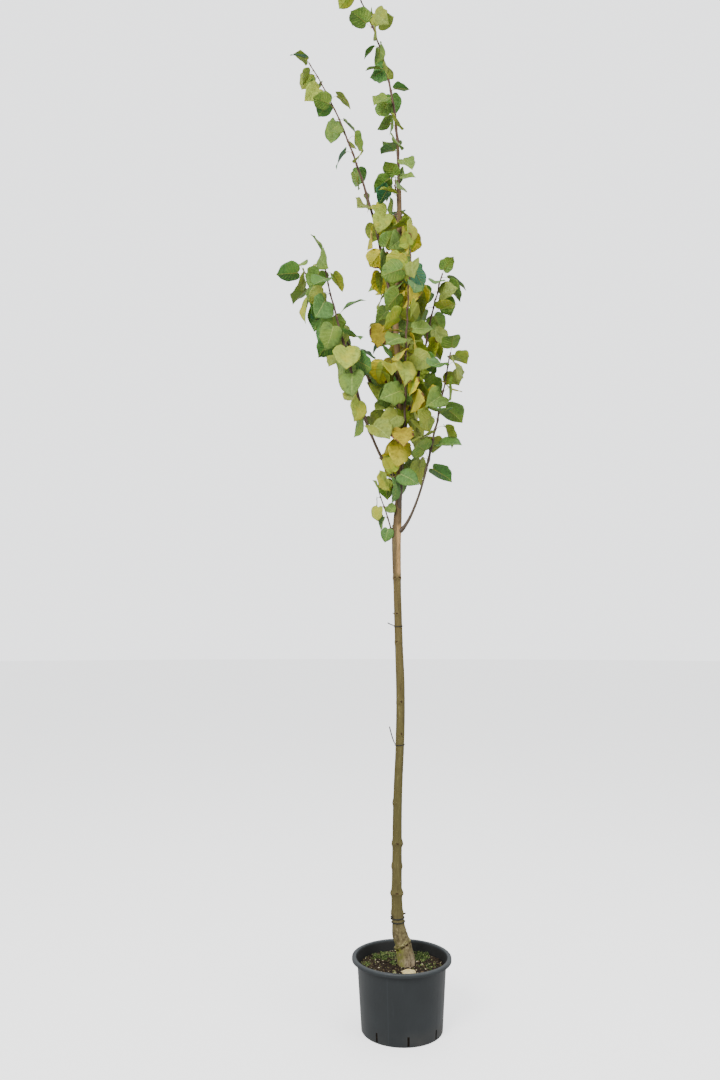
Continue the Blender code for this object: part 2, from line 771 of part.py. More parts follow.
def trunk_mesh(name, extra):
    """The trunk as level rings, so that its foot and its pruned top are flat cuts."""
    work = bmesh.new()
    rings = []
    for height in trunk_heights():
        centre, radius = trunk_at(height)
        ring = []
        for side in range(TRUNK_SIDES):
            azimuth = 360.0 * side / TRUNK_SIDES
            reach = radius + knob_at(height, azimuth) + extra
            ring.append(work.verts.new(centre + bearing(azimuth) * reach))
        rings.append(ring)
    for low, high in zip(rings[:-1], rings[1:]):
        for side in range(TRUNK_SIDES):
            other = (side + 1) % TRUNK_SIDES
            work.faces.new((low[side], low[other], high[other], high[side]))
    work.faces.new(list(reversed(rings[0])))
    work.faces.new(rings[-1])
    bmesh.ops.triangulate(work, faces=[face for face in work.faces if len(face.verts) == 4])
    mesh = bpy.data.meshes.new(name)
    work.to_mesh(mesh)
    work.free()
    return mesh


def inner_wall(height):
    """Inside radius of the pot's body at a height."""
    share = height / (POT_HEIGHT - POT_LIP_DROP)
    return blend(POT_FOOT_RADIUS, POT_BODY_RADIUS, share) - POT_WALL


def build_pot(shop):
    lip_foot = POT_HEIGHT - POT_LIP_DROP
    profile = (
        (0.0, POT_WALL),
        (inner_wall(POT_WALL), POT_WALL),
        (inner_wall(lip_foot), lip_foot),
        (POT_MOUTH_RADIUS, POT_HEIGHT - POT_EDGE),
        (POT_MOUTH_RADIUS + POT_EDGE, POT_HEIGHT),
        (POT_LIP_RADIUS - POT_EDGE, POT_HEIGHT),
        (POT_LIP_RADIUS, POT_HEIGHT - POT_EDGE),
        (POT_LIP_RADIUS, lip_foot),
        (POT_LIP_RADIUS - POT_WALL, lip_foot),
        (POT_LIP_RADIUS - POT_WALL, POT_HEIGHT - POT_WALL),
        (POT_MOUTH_RADIUS + POT_WALL, POT_HEIGHT - POT_WALL),
        (POT_BODY_RADIUS, lip_foot - POT_EDGE),
        (POT_FOOT_RADIUS, POT_EDGE),
        (POT_FOOT_RADIUS - POT_EDGE, 0.0),
        (0.0, 0.0),
    )
    pot = shop.turned("pot", profile)
    for index in range(SLOT_COUNT):
        azimuth = SLOT_FIRST_AZIMUTH + 360.0 * index / SLOT_COUNT
        bpy.ops.mesh.primitive_cube_add(size=1.0)
        slot = bpy.context.object
        slot.name = f"slot_{index + 1}"
        slot.dimensions = (0.030, SLOT_WIDTH, SLOT_HIGH - SLOT_LOW)
        slot.location = bearing(azimuth) * POT_FOOT_RADIUS + Vector((0.0, 0.0, (SLOT_LOW + SLOT_HIGH) / 2))
        slot.rotation_euler.z = math.radians(azimuth)
        slot.hide_render = True
        slot.display_type = "WIRE"
        for holder in list(slot.users_collection):
            holder.objects.unlink(slot)
        shop.cutters.objects.link(slot)
        boolean = pot.modifiers.new(slot.name, "BOOLEAN")
        boolean.operation = "DIFFERENCE"
        boolean.solver = "EXACT"
        boolean.object = slot
    shop.finish(pot, "pot", 35.0)


def build_soil(shop):
    edge = SOIL_HEIGHT - SOIL_EDGE_DROP
    foot = POT_WALL + GAP
    side_gap = GAP * 1.5
    profile = (
        (0.0, SOIL_HEIGHT),
        (SOIL_MIDDLE_RADIUS, SOIL_HEIGHT),
        (inner_wall(edge) * 0.92, edge + SOIL_EDGE_DROP * 0.35),
        (inner_wall(edge) - side_gap, edge),
        (inner_wall(foot) - side_gap, foot),
        (0.0, foot),
    )
    shop.finish(shop.turned("soil", profile), "soil", 35.0)


def build_ties(shop):
    turn = 360.0 / TRUNK_SIDES
    for name, (height, azimuth, out, up, wire) in TIES.items():
        points = []
        first = round(azimuth / turn) * turn
        for step in range(TRUNK_SIDES + 1):
            level = height + (2.0 * wire + TIE_CLIMB) * step / TRUNK_SIDES
            centre, radius = trunk_at(level)
            angle = first + turn * step
            reach = radius + knob_at(level, angle) + wire + TIE_ROOM
            points.append(centre + bearing(angle) * reach)
        tail = points[-1]
        bend_out, bend_up = TIE_BEND
        points.append(tail + bearing(azimuth) * out * bend_out + Vector((0.0, 0.0, up * bend_up)))
        points.append(tail + bearing(azimuth) * out + Vector((0.0, 0.0, up)))
        tie = shop.drawn(name, points, [wire] * len(points), 0)
        shop.finish(tie, "tie")


def build_bough(shop, growth, cutter):
    name = f"bough_{growth.shoot.name}"
    bough = shop.drawn(name, growth.bough, growth.bough_radii, 1)
    shop.cut(bough, cutter)
    shop.finish(bough, "bough", 50.0)


def build_foliage(shop, growth, cutter):
    """One mass: the stem, cut clear of the trunk, with its stalks and blades fused on."""
    name = f"foliage_{growth.shoot.name}"
    stem = shop.drawn(name, growth.stem, growth.stem_radii, 0)
    if growth.shoot.name == "leader":
        stem.location.z = GAP
    elif not growth.shoot.bough:
        shop.cut(stem, cutter)
    leaves = shop.leaves_of(name + "_leaves", growth.leaves)
    pieces = bpy.data.collections.new(name + "_pieces")
    pieces.objects.link(leaves)
    boolean = stem.modifiers.new("Leaves", "BOOLEAN")
    boolean.operation = "UNION"
    boolean.operand_type = "COLLECTION"
    boolean.collection = pieces
    boolean.solver = FUSING
    shop.apply(stem)
    bpy.data.objects.remove(leaves)
    bpy.data.collections.remove(pieces)
    shop.finish(stem, "foliage")


def main():
    for old in list(bpy.data.objects):
        bpy.data.objects.remove(old)
    shop = Workshop()
    growths = lay_out_crown()
    build_pot(shop)
    build_soil(shop)
    shop.finish(shop.add("trunk", trunk_mesh("trunk", 0.0)), "trunk", 50.0)
    cutter = shop.add("trunk_room", trunk_mesh("trunk_room", GAP), shop.cutters)
    cutter.hide_render = True
    cutter.display_type = "WIRE"
    build_ties(shop)
    for growth in growths:
        if growth.shoot.bough:
            build_bough(shop, growth, cutter)
        build_foliage(shop, growth, cutter)


if __name__ == "__main__":
    main()
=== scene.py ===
# %% [markdown]
# # A young linden tree in its nursery pot
#
# The object is a slender grafted linden, 4.8 m tall, that grows in a black nursery pot. A packed
# model of it gives the frame: where every limb, leaf mass and pot wall is. This lesson puts the
# looks on that frame, with bark that has relief, leaves that have teeth and veins, a moulded pot
# and crumbly soil with moss.

# %% Load the frame
import math
import random
from dataclasses import dataclass, replace

import bpy
import numpy as np
from mathutils import Matrix, Vector, noise
from mathutils.bvhtree import BVHTree


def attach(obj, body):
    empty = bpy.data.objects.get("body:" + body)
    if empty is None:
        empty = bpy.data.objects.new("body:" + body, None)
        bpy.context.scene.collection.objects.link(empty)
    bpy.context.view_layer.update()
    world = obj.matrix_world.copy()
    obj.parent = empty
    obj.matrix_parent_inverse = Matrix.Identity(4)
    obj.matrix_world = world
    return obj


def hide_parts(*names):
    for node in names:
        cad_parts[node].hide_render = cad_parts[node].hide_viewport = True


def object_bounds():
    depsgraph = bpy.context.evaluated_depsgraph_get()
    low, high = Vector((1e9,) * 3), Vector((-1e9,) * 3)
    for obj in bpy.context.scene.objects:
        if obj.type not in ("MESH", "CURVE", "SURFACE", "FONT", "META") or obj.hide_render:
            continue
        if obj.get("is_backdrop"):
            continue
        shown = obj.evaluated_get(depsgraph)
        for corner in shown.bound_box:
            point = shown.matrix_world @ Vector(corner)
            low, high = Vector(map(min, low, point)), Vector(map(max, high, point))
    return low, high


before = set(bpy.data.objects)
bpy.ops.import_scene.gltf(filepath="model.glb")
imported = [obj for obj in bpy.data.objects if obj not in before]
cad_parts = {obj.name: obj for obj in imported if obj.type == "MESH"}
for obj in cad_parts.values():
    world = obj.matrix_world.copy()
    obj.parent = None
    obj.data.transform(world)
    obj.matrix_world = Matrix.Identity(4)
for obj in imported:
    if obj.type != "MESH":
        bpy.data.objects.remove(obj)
cad_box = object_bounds()
print("packed nodes:", len(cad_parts))

# %% [markdown]
# ## The tree's sizes
#
# The looks have to lie where the solids lie, so the driving sizes of the model are repeated here
# in metres. Heights are above the pot's flat underside, and an azimuth of 0 is to the right and
# of 90 to the back. The trunk is a short list of stations with a smooth curve between them.

# %% Pot, soil and trunk sizes
GAP = 0.0003  # clearance wherever two pieces meet
WELD = 0.00001

# Pot
POT_HEIGHT = 0.294
POT_FOOT_RADIUS = 0.172
POT_BODY_RADIUS = 0.189  # just under the lip
POT_MOUTH_RADIUS = 0.1935
POT_LIP_RADIUS = 0.2115
POT_LIP_DROP = 0.0145  # height of the turned-down lip
POT_WALL = 0.0025
POT_EDGE = 0.002  # small roundings
SLOT_COUNT = 8
SLOT_WIDTH = 0.009
SLOT_LOW = 0.005
SLOT_HIGH = 0.042
SLOT_FIRST_AZIMUTH = -84.0  # degrees

# Soil
SOIL_HEIGHT = 0.257  # flat middle round the trunk's foot
SOIL_EDGE_DROP = 0.006

# Trunk: height, sideways and backward offset, radius
TRUNK_STATIONS = (
    (SOIL_HEIGHT + GAP, 0.0215, 0.004, 0.0365),
    (0.333, 0.0085, 0.003, 0.0350),
    (0.378, -0.0056, 0.002, 0.0348),
    (0.428, -0.0135, 0.000, 0.0262),
    (0.508, -0.0190, -0.003, 0.0237),
    (0.648, -0.0185, -0.006, 0.0210),
    (0.938, -0.0140, -0.008, 0.0194),
    (1.168, -0.0035, -0.004, 0.0190),
    (1.388, 0.0014, 0.002, 0.0191),
    (1.588, -0.0038, 0.006, 0.0179),
    (1.838, -0.0104, 0.006, 0.0174),
    (2.068, -0.0134, 0.002, 0.0208),
    (2.148, -0.0090, 0.001, 0.0195),
    (2.288, -0.0020, -0.002, 0.0147),
    (2.468, 0.0045, -0.004, 0.0128),
    (2.668, 0.0060, -0.002, 0.0130),
    (2.868, 0.0010, 0.003, 0.0132),
    (3.073, -0.0122, 0.006, 0.0132),
    (3.238, -0.0036, 0.003, 0.0122),
    (3.558, 0.0078, -0.002, 0.0116),
    (3.741, 0.0055, -0.001, 0.0110),
)
TRUNK_SIDES = 12
TRUNK_RING_STEP = 0.13
TRUNK_RING_SPACE = 0.006  # the least height between two rings
# Rings where foot and fork curve
TRUNK_BENDS = (0.298, 0.333, 0.378, 0.428, 2.068, 2.148, 2.218)
# Knobs left by old side shoots: height, azimuth in degrees, how far they stand out
TRUNK_KNOBS = (
    (0.470, 180.0, 0.0048),
    (0.470, 0.0, 0.0036),
    (0.553, 188.0, 0.0058),
    (0.553, -95.0, 0.0028),
    (0.553, -8.0, 0.0074),
    (0.553, 90.0, 0.0028),
    (0.664, 175.0, 0.0046),
    (0.664, 15.0, 0.0034),
    (0.759, 180.0, 0.0050),
    (0.759, -90.0, 0.0024),
    (0.759, 5.0, 0.0074),
    (0.930, 190.0, 0.0040),
    (1.220, -81.0, 0.0022),
    (1.358, -86.0, 0.0034),
    (1.619, -123.0, 0.0036),
    (1.743, -110.0, 0.0036),
    (1.904, -118.0, 0.0042),
    (1.904, -66.0, 0.0040),
    (1.904, 80.0, 0.0030),
)
KNOB_HEIGHT = 0.011
KNOB_SPREAD = 42.0  # degrees round the trunk

# Ties: height, azimuth of the tail, tail length outward and upward, radius
TIES = {
    "tie_foot_low": (0.431, 150.0, 0.007, 0.004, 0.0025),
    "tie_foot_high": (0.448, 200.0, 0.007, 0.004, 0.0025),
    "tie_middle": (1.172, 184.0, 0.024, 0.074, 0.0020),
    "tie_upper": (1.686, 182.0, 0.028, 0.012, 0.0020),
}
TIE_CLIMB = 0.0016  # between the two ends of a tie's one turn
TIE_BEND = (0.45, 0.35)  # where the tail bends, in its lengths outward and upward

print("trunk stations:", len(TRUNK_STATIONS))

# %% [markdown]
# ## Shoots as named sizes
#
# Each bough and leafy twig is one line of sizes: where it leaves the trunk, how far it rises and
# reaches, and how its leaves stand. A seeded rule turns that into leaves, so that the crown is
# the same in every run and has the same leaves as the solids.

# %% Leaf and shoot sizes
LEAF_HALF_OUTLINE = ((0.0, 0.0), (-0.10, 0.23), (0.24, 0.49), (0.66, 0.38), (1.0, 0.0))
LEAF_MIDRIB = (0.45, 0.0)  # one more corner, in the middle of the midrib
LEAF_FACES = ((0, 1, 2), (0, 2, 5), (5, 2, 3), (5, 3, 4))
LEAF_ROOM = 0.055  # thickness of the space that a blade keeps free
LEAF_CUPS = ((0.16, 0.16), (0.34, 0.28), (0.05, 0.40), (0.24, 0.05))  # fold, curl
CURL_FROM = 0.1  # where the curl begins, in blade lengths from the stalk
LEAF_TRIES = 14
NODE_KINK = 0.0025  # how far a stem steps away from each leaf
NODE_STEP = 0.006  # a leaf's foot is this far past the kink
TWIG_WAVE = 0.006  # how far a shoot sways to either side
TWIG_SWAY = 9.0  # radians of that sway from its foot to its tip
TWIG_TAPER = 0.9  # under 1 a shoot thins fast at its foot
LEAF_STRIDE = 131  # between the seeds of two leaves
SHOOT_STRIDE = 9973  # between those of two shoots


@dataclass
class Shoot:
    """A bough with its foliage, or a leafy twig, as named sizes."""

    name: str
    azimuth: float  # degrees, 0 to the right, 90 to the back
    start: float  # height on the trunk
    rise: float
    reach: float
    power: float  # 1 is straight, under 1 leaves the trunk fast
    root: float  # radius at the trunk
    tip: float
    bare: float  # share of its rise before the leaves begin
    leaves: int
    blades: tuple  # blade length of the lowest and the highest leaf
    space: float  # how far from its stem a leaf may reach
    spread: float  # azimuth of the two rows of leaves to either side of the shoot's own
    seeds: tuple  # for its lower, middle and upper leaves
    lean: float = 0.0  # share of the reach that is gained evenly
    crowd: float = 1.1  # above 1 the leaves stand closer towards the tip
    bough: bool = True

    def dice(self, index, attempt=0):
        seed = self.seeds[index * len(self.seeds) // self.leaves]
        return random.Random(seed * SHOOT_STRIDE + index * LEAF_STRIDE + attempt)


SHOOTS = (
    Shoot("leader", 180, 3.741, 1.020, 0.205, 2.35, 0.0056, 0.0018, 0.0,
          19, (0.098, 0.088), 0.125, 75, (112, 137, 201), crowd=1.2, bough=False),
    Shoot("upper_left", 150, 3.068, 1.490, 0.495, 2.60, 0.0060, 0.0018, 0.15,
          20, (0.100, 0.096), 0.125, 70, (112, 185, 205), lean=0.55, crowd=1.35),
    Shoot("lower_left", 202, 2.348, 1.000, 0.375, 0.62, 0.0062, 0.0018, 0.17,
          16, (0.122, 0.102), 0.150, 62, (67, 13, 125)),
    Shoot("middle_left", 163, 2.548, 0.860, 0.485, 1.05, 0.0058, 0.0018, 0.22,
          15, (0.112, 0.108), 0.150, 62, (76, 188, 65)),
    Shoot("lower_right", -25, 2.108, 0.800, 0.262, 0.56, 0.0056, 0.0018, 0.30,
          14, (0.122, 0.104), 0.155, 55, (202, 101, 152)),
    Shoot("upper_right", 35, 2.488, 0.900, 0.265, 1.00, 0.0058, 0.0018, 0.26,
          16, (0.112, 0.100), 0.150, 62, (73, 44, 40)),
    Shoot("front", -65, 2.208, 1.180, 0.125, 0.60, 0.0052, 0.0016, 0.16,
          19, (0.112, 0.096), 0.145, 75, (21, 62, 84)),
    Shoot("back", 97, 2.608, 0.850, 0.300, 1.00, 0.0054, 0.0018, 0.26,
          14, (0.110, 0.098), 0.150, 62, (225, 126, 138)),
    Shoot("fork_twig", 185, 2.048, 0.250, 0.082, 1.00, 0.0032, 0.0014, 0.15,
          5, (0.066, 0.060), 0.090, 45, (63,), bough=False),
)

# Short leafy twigs that stand straight on the trunk among the boughs
SPUR_COUNT = 14
SPUR_LOW = 2.248
SPUR_HIGH = 3.668
SPUR_FIRST_AZIMUTH = -100.0
GOLDEN_ANGLE = 137.5
SPUR_RISE = 0.085
SPUR_REACH = 0.055
SPUR_POWER = 0.7
SPUR_BARE = 0.5
SPUR_ROOT = 0.0030
SPUR_TIP = 0.0014
SPUR_LEAVES = 3
SPUR_BLADES = (0.106, 0.100)
SPUR_SPACE = 0.150
SPUR_SPREAD = 62.0
SPUR_SEED = 56
SPUR_TURN = 25.0  # degrees turned when a limb is in the way
SPUR_CLIMB = 0.012  # and height gained
SPUR_TURNS = 12
SPUR_ROOM = 0.012  # least way from its stem to a limb

print("shoots:", len(SHOOTS), "and short twigs on the trunk:", SPUR_COUNT)

# %% [markdown]
# ## The curves of trunk and shoots
#
# A trunk could be a curve object, but a formula can be asked for the centre and the thickness at
# any height, and bark, ties and twigs all need that. The shoots are formulas for the same reason.

# %% Trunk and shoot curves
def blend(low, high, share):
    """The value at a share of the way from the low one to the high one."""
    return low + (high - low) * share


def within(value, low, high):
    """The value, or the limit that it would go past."""
    return min(max(value, low), high)


def bearing(degrees):
    """Horizontal unit vector at an azimuth."""
    return Vector((math.cos(math.radians(degrees)), math.sin(math.radians(degrees)), 0.0))


def trunk_at(height):
    """Centre and plain radius of the trunk, smooth between its stations."""
    stations = TRUNK_STATIONS
    last = len(stations) - 2
    index = 0
    while index < last and height > stations[index + 1][0]:
        index += 1
    before = stations[max(index - 1, 0)]
    low = stations[index]
    high = stations[index + 1]
    after = stations[min(index + 2, last + 1)]
    span = high[0] - low[0]
    share = within((height - low[0]) / span, 0.0, 1.0)
    values = []
    for axis in (1, 2, 3):
        slope_low = (high[axis] - before[axis]) / max(high[0] - before[0], WELD) * span
        slope_high = (after[axis] - low[axis]) / max(after[0] - low[0], WELD) * span
        square = share * share
        cube = square * share
        values.append((2 * cube - 3 * square + 1) * low[axis]
                      + (cube - 2 * square + share) * slope_low
                      + (3 * square - 2 * cube) * high[axis] + (cube - square) * slope_high)
    return Vector((values[0], values[1], height)), values[2]


def from_knob(height, azimuth, knob):
    """Distance from a knob's middle, in knob sizes, upward and round the trunk."""
    knob_height, knob_azimuth, _ = knob
    turn = (azimuth - knob_azimuth + 180.0) % 360.0 - 180.0
    return (height - knob_height) / KNOB_HEIGHT, turn / KNOB_SPREAD


def knob_at(height, azimuth):
    """How far old knobs lift the bark at a height and azimuth."""
    lift = 0.0
    for knob in TRUNK_KNOBS:
        rise, turn = from_knob(height, azimuth, knob)
        lift += knob[2] * math.exp(-rise ** 2 - turn ** 2)
    return lift


def shoot_point(shoot, share):
    """Point on a shoot's axis, from the trunk's axis at 0 to its tip at 1."""
    foot, _ = trunk_at(shoot.start)
    out = shoot.reach * (shoot.lean * share + (1.0 - shoot.lean) * share ** shoot.power)
    wave = TWIG_WAVE * math.sin(math.radians(shoot.azimuth) + TWIG_SWAY * share) * share
    return (foot + bearing(shoot.azimuth) * out + bearing(shoot.azimuth + 90.0) * wave
            + Vector((0.0, 0.0, shoot.rise * share)))


def shoot_radius(shoot, share):
    return blend(shoot.root, shoot.tip, share ** TWIG_TAPER)


def shoot_direction(shoot, share):
    step = 0.01
    low = max(share - step, 0.0)
    high = min(share + step, 1.0)
    return (shoot_point(shoot, high) - shoot_point(shoot, low)).normalized()


print("trunk radius at 1 m:", round(trunk_at(1.0)[1], 4))

# %% [markdown]
# ## A stand-in leaf
#
# Real leaves push each other aside until each one hangs free. A thickened blade of few faces is
# quick to test for that, so it stands for the fine one.

# %% Stand-in leaves
def put_object(name, data):
    """A new object of some data, put into the scene."""
    made = bpy.data.objects.new(name, data)
    bpy.context.scene.collection.objects.link(made)
    return made


def modify(piece, title, kind, **settings):
    """Give a piece a modifier with its settings."""
    modifier = piece.modifiers.new(title, kind)
    for setting, value in settings.items():
        setattr(modifier, setting, value)


def leaf_surface(fold, curl, thickness):
    """Corners and faces of one blade of unit length, its stalk end at the origin."""
    half = [Vector((x, y, fold * y - curl * max(x - CURL_FROM, 0.0) ** 2))
            for x, y in LEAF_HALF_OUTLINE + (LEAF_MIDRIB,)]
    mesh = bpy.data.meshes.new("blade")
    mesh.from_pydata(half, [], LEAF_FACES)
    guide = put_object("blade", mesh)
    modify(guide, "Both halves", "MIRROR", use_axis=(False, True, False), merge_threshold=WELD)
    modify(guide, "Thickness", "SOLIDIFY", thickness=thickness, offset=0.0)
    bpy.context.view_layer.update()
    made = guide.evaluated_get(bpy.context.evaluated_depsgraph_get()).data
    corners = np.array([corner.co for corner in made.vertices])
    faces = [tuple(face.vertices) for face in made.polygons]
    bpy.data.objects.remove(guide)
    return corners, faces


@dataclass
class Leaf:
    """A stalk as three points, from inside the stem to the blade, and a placed blade."""

    stalk: list
    place: Matrix
    cup: int  # which of the cups its blade has

    def corners(self, shape):
        turned = np.array(self.place.to_3x3())
        return shape @ turned.T + np.array(self.place.translation)


print("corners of a half blade:", len(LEAF_HALF_OUTLINE), "cups:", len(LEAF_CUPS))

# %% [markdown]
# ## The room that is taken
#
# The rule draws a leaf from seeded dice, tests it against every limb, stalk and blade that is
# already there, and tries again when it touches one. Limbs and stalks are rows of round beads.

# %% Room
BEAD_STEP = 0.009  # between two beads of a limb
STALK_SHARES = (0.34, 0.67, 1.0)  # where the beads lie in each half of a stalk
STALK_BEAD = 0.0018  # their radius
STALK_ROOM = 0.0035  # kept free between a blade and any bead
TIGHT_ROOM = STALK_ROOM * 0.5  # kept free round a stalk's own beads
NEAR_LIMBS = 0.03  # beads farther than this from a blade needn't be tested
NEAR_STALKS = 0.01


class Room:
    """The space already taken: blades as closed surfaces, limbs and stalks as beads."""

    def __init__(self):
        self.thick = [leaf_surface(fold, curl, LEAF_ROOM) for fold, curl in LEAF_CUPS]
        self.blades = []
        self.limbs = np.zeros((0, 4))
        self.owners = []
        self.stalks = np.zeros((0, 4))

    def add_limb(self, owner, points, radii):
        for index in range(len(points) - 1):
            span = points[index + 1] - points[index]
            count = max(2, math.ceil(span.length / BEAD_STEP))
            for step in range(count):
                share = step / count
                radius = blend(radii[index], radii[index + 1], share)
                bead = (*(points[index] + span * share), radius)
                self.limbs = np.vstack((self.limbs, bead))
                self.owners.append(owner)

    def stalk_beads(self, leaf):
        beads = []
        for low, high in zip(leaf.stalk[:-1], leaf.stalk[1:]):
            beads += [(*low.lerp(high, share), STALK_BEAD) for share in STALK_SHARES]
        return np.array(beads)

    def blade_tree(self, leaf):
        """A blade's middle, how far it reaches from there, and its faces as a search tree."""
        shape, faces = self.thick[leaf.cup]
        corners = leaf.corners(shape)
        middle = corners.mean(axis=0)
        reach = float(np.linalg.norm(corners - middle, axis=1).max())
        return middle, reach, BVHTree.FromPolygons(corners.tolist(), faces)

    def clear_of_beads(self, blade, beads):
        middle, reach, tree = blade
        if len(beads) == 0:
            return True
        near = beads[np.linalg.norm(beads[:, :3] - middle, axis=1) < reach + NEAR_LIMBS]
        return all(tree.find_nearest(bead[:3], bead[3] + STALK_ROOM)[0] is None for bead in near)

    def admits(self, owner, leaf):
        """True where the leaf touches no limb, stalk or blade that is there already."""
        blade = self.blade_tree(leaf)
        if not self.clear_of_beads(blade, self.limbs):
            return False
        if not self.clear_of_beads(blade, self.stalks):
            return False
        for middle, reach, tree in self.blades:
            if np.linalg.norm(middle - blade[0]) < reach + blade[1] and blade[2].overlap(tree):
                return False
        others = self.limbs[[name != owner for name in self.owners]]
        for bead in self.stalk_beads(leaf):
            for group in (others, self.stalks):
                if (np.linalg.norm(group[:, :3] - bead[:3], axis=1)
                        < group[:, 3] + bead[3] + TIGHT_ROOM).any():
                    return False
            for middle, reach, tree in self.blades:
                if np.linalg.norm(middle - bead[:3]) < reach + NEAR_STALKS:
                    if tree.find_nearest(bead[:3], bead[3] + TIGHT_ROOM)[0] is not None:
                        return False
        return True

    def take(self, leaf):
        self.blades.append(self.blade_tree(leaf))
        self.stalks = np.vstack((self.stalks, self.stalk_beads(leaf)))


print("room kept round a stalk:", TIGHT_ROOM)

# %% [markdown]
# ## How one leaf hangs
#
# A linden leaf stands on a long stalk that leaves the stem at a slant. Its blade then droops and
# rolls to some side. The leaf at the very tip of a shoot points on along the shoot.

# %% Drawing leaves
LEAF_SIZES = (0.86, 1.12)  # of the shoot's own blade length
STALK_SLANTS = (42.0, 74.0)  # degrees between stem and stalk
STALK_LENGTHS = (0.38, 0.55)  # in blade lengths
HEADING_SPREAD = 26.0
DROOP = (38.0, 26.0)  # degrees below the level, and their spread
DROOP_LIMITS = (-25.0, 86.0)
ROLL_SPREAD = 52.0
ROLL_LIMIT = 86.0
END_SIZES = (0.74, 0.86)  # the same for the leaf at a shoot's tip, which is smaller
END_DROOPS = (-62.0, -30.0)
END_ROLL = 60.0
END_STALK = 0.25
END_SINK = 0.008  # how far its stalk starts inside the stem
ELBOW_PARTS = (0.55, 0.45)  # of a stalk, before and after its elbow


def draw_leaf(shoot, node, direction, rank, order, dice):
    """One leaf at a node; its order is 0 for a shoot's lowest leaf and 1 for its highest."""
    length = blend(*shoot.blades, order) * dice.uniform(*LEAF_SIZES)
    outward = bearing(rank)
    slant = math.radians(dice.uniform(*STALK_SLANTS))
    stalk_way = (direction * math.cos(slant) + outward * math.sin(slant)).normalized()
    stalk_length = length * dice.uniform(*STALK_LENGTHS)
    heading = bearing(rank + dice.gauss(0.0, HEADING_SPREAD))
    droop = math.radians(within(dice.gauss(*DROOP), *DROOP_LIMITS))
    roll = math.radians(within(dice.gauss(0.0, ROLL_SPREAD), -ROLL_LIMIT, ROLL_LIMIT))
    return hang_leaf((node, stalk_way, stalk_length), heading, droop, roll, length, dice)


def draw_end_leaf(shoot, node, direction, dice):
    """The leaf at a shoot's very tip, which points on along the shoot."""
    length = shoot.blades[1] * dice.uniform(*END_SIZES)
    heading = bearing(dice.uniform(0.0, 360.0))
    droop = math.radians(dice.uniform(*END_DROOPS))
    roll = math.radians(dice.uniform(-END_ROLL, END_ROLL))
    stalk = (node - direction * END_SINK, direction, length * END_STALK + END_SINK)
    return hang_leaf(stalk, heading, droop, roll, length, dice)


def hang_leaf(stalk, heading, droop, roll, length, dice):
    """Bend the stalk at its elbow and hang the blade, turned and rolled, from its end."""
    node, stalk_way, stalk_length = stalk
    before, after = ELBOW_PARTS
    elbow = node + stalk_way * stalk_length * before
    forward = heading * math.cos(droop) - Vector((0.0, 0.0, math.sin(droop)))
    joint = elbow + (stalk_way + forward).normalized() * stalk_length * after
    up = Vector((0.0, 0.0, 1.0))
    upper = (up - forward * up.dot(forward)).normalized()
    upper = Matrix.Rotation(roll, 3, forward) @ upper
    side = upper.cross(forward)
    turn = Matrix((forward, side, upper)).transposed()
    place = Matrix.Translation(joint) @ turn.to_4x4() @ Matrix.Scale(length, 4)
    return Leaf([node, elbow, joint], place, dice.randrange(len(LEAF_CUPS)))


print("a stalk bends at", ELBOW_PARTS[0], "of its length")

# %% [markdown]
# ## Growing a shoot
#
# The leaves stand in two rows by turns, and the stem makes a small kink away from each of them.
# That gives the light zigzag that linden twigs have.

# %% Stems
ROW_SPREAD = 30.0  # degrees by which leaves stray from their row
FIRST_LEAF = 0.6  # leaf steps from the bare part's end to the first leaf
LAST_LEAF = 0.4  # and by which the last one passes the tip
BOUGH_POINTS = 9
BOUGH_CROWD = 1.5  # above 1 a bough's points stand closer near the trunk
JOINT_STEP = 0.006  # a bough and its stem are straight this far from their joint
TWIG_HEEL = 0.04  # share of a small twig where its stem leaves the trunk
TWIG_START = 0.005  # share where its direction is read
STEM_STEP = 0.012  # least way between two kinks


@dataclass
class Growth:
    """What one shoot has grown: the bare bough, the leafy stem and its leaves."""

    shoot: Shoot
    bough: list  # points
    bough_radii: list
    stem: list
    stem_radii: list
    leaves: list


def leaf_share(shoot, index):
    """Where the leaf of that number sits; the steps shorten towards the tip."""
    share = min((index + FIRST_LEAF) / (shoot.leaves - LAST_LEAF), 1.0)
    return shoot.bare + (1.0 - shoot.bare) * (1.0 - (1.0 - share) ** shoot.crowd)


def rank_of(shoot, index, dice):
    """Azimuth of the row that a leaf stands in: to either side of the shoot's own by turns."""
    row = shoot.spread * (1.0 - 2.0 * (index % 2))
    return shoot.azimuth + row + dice.gauss(0.0, ROW_SPREAD)


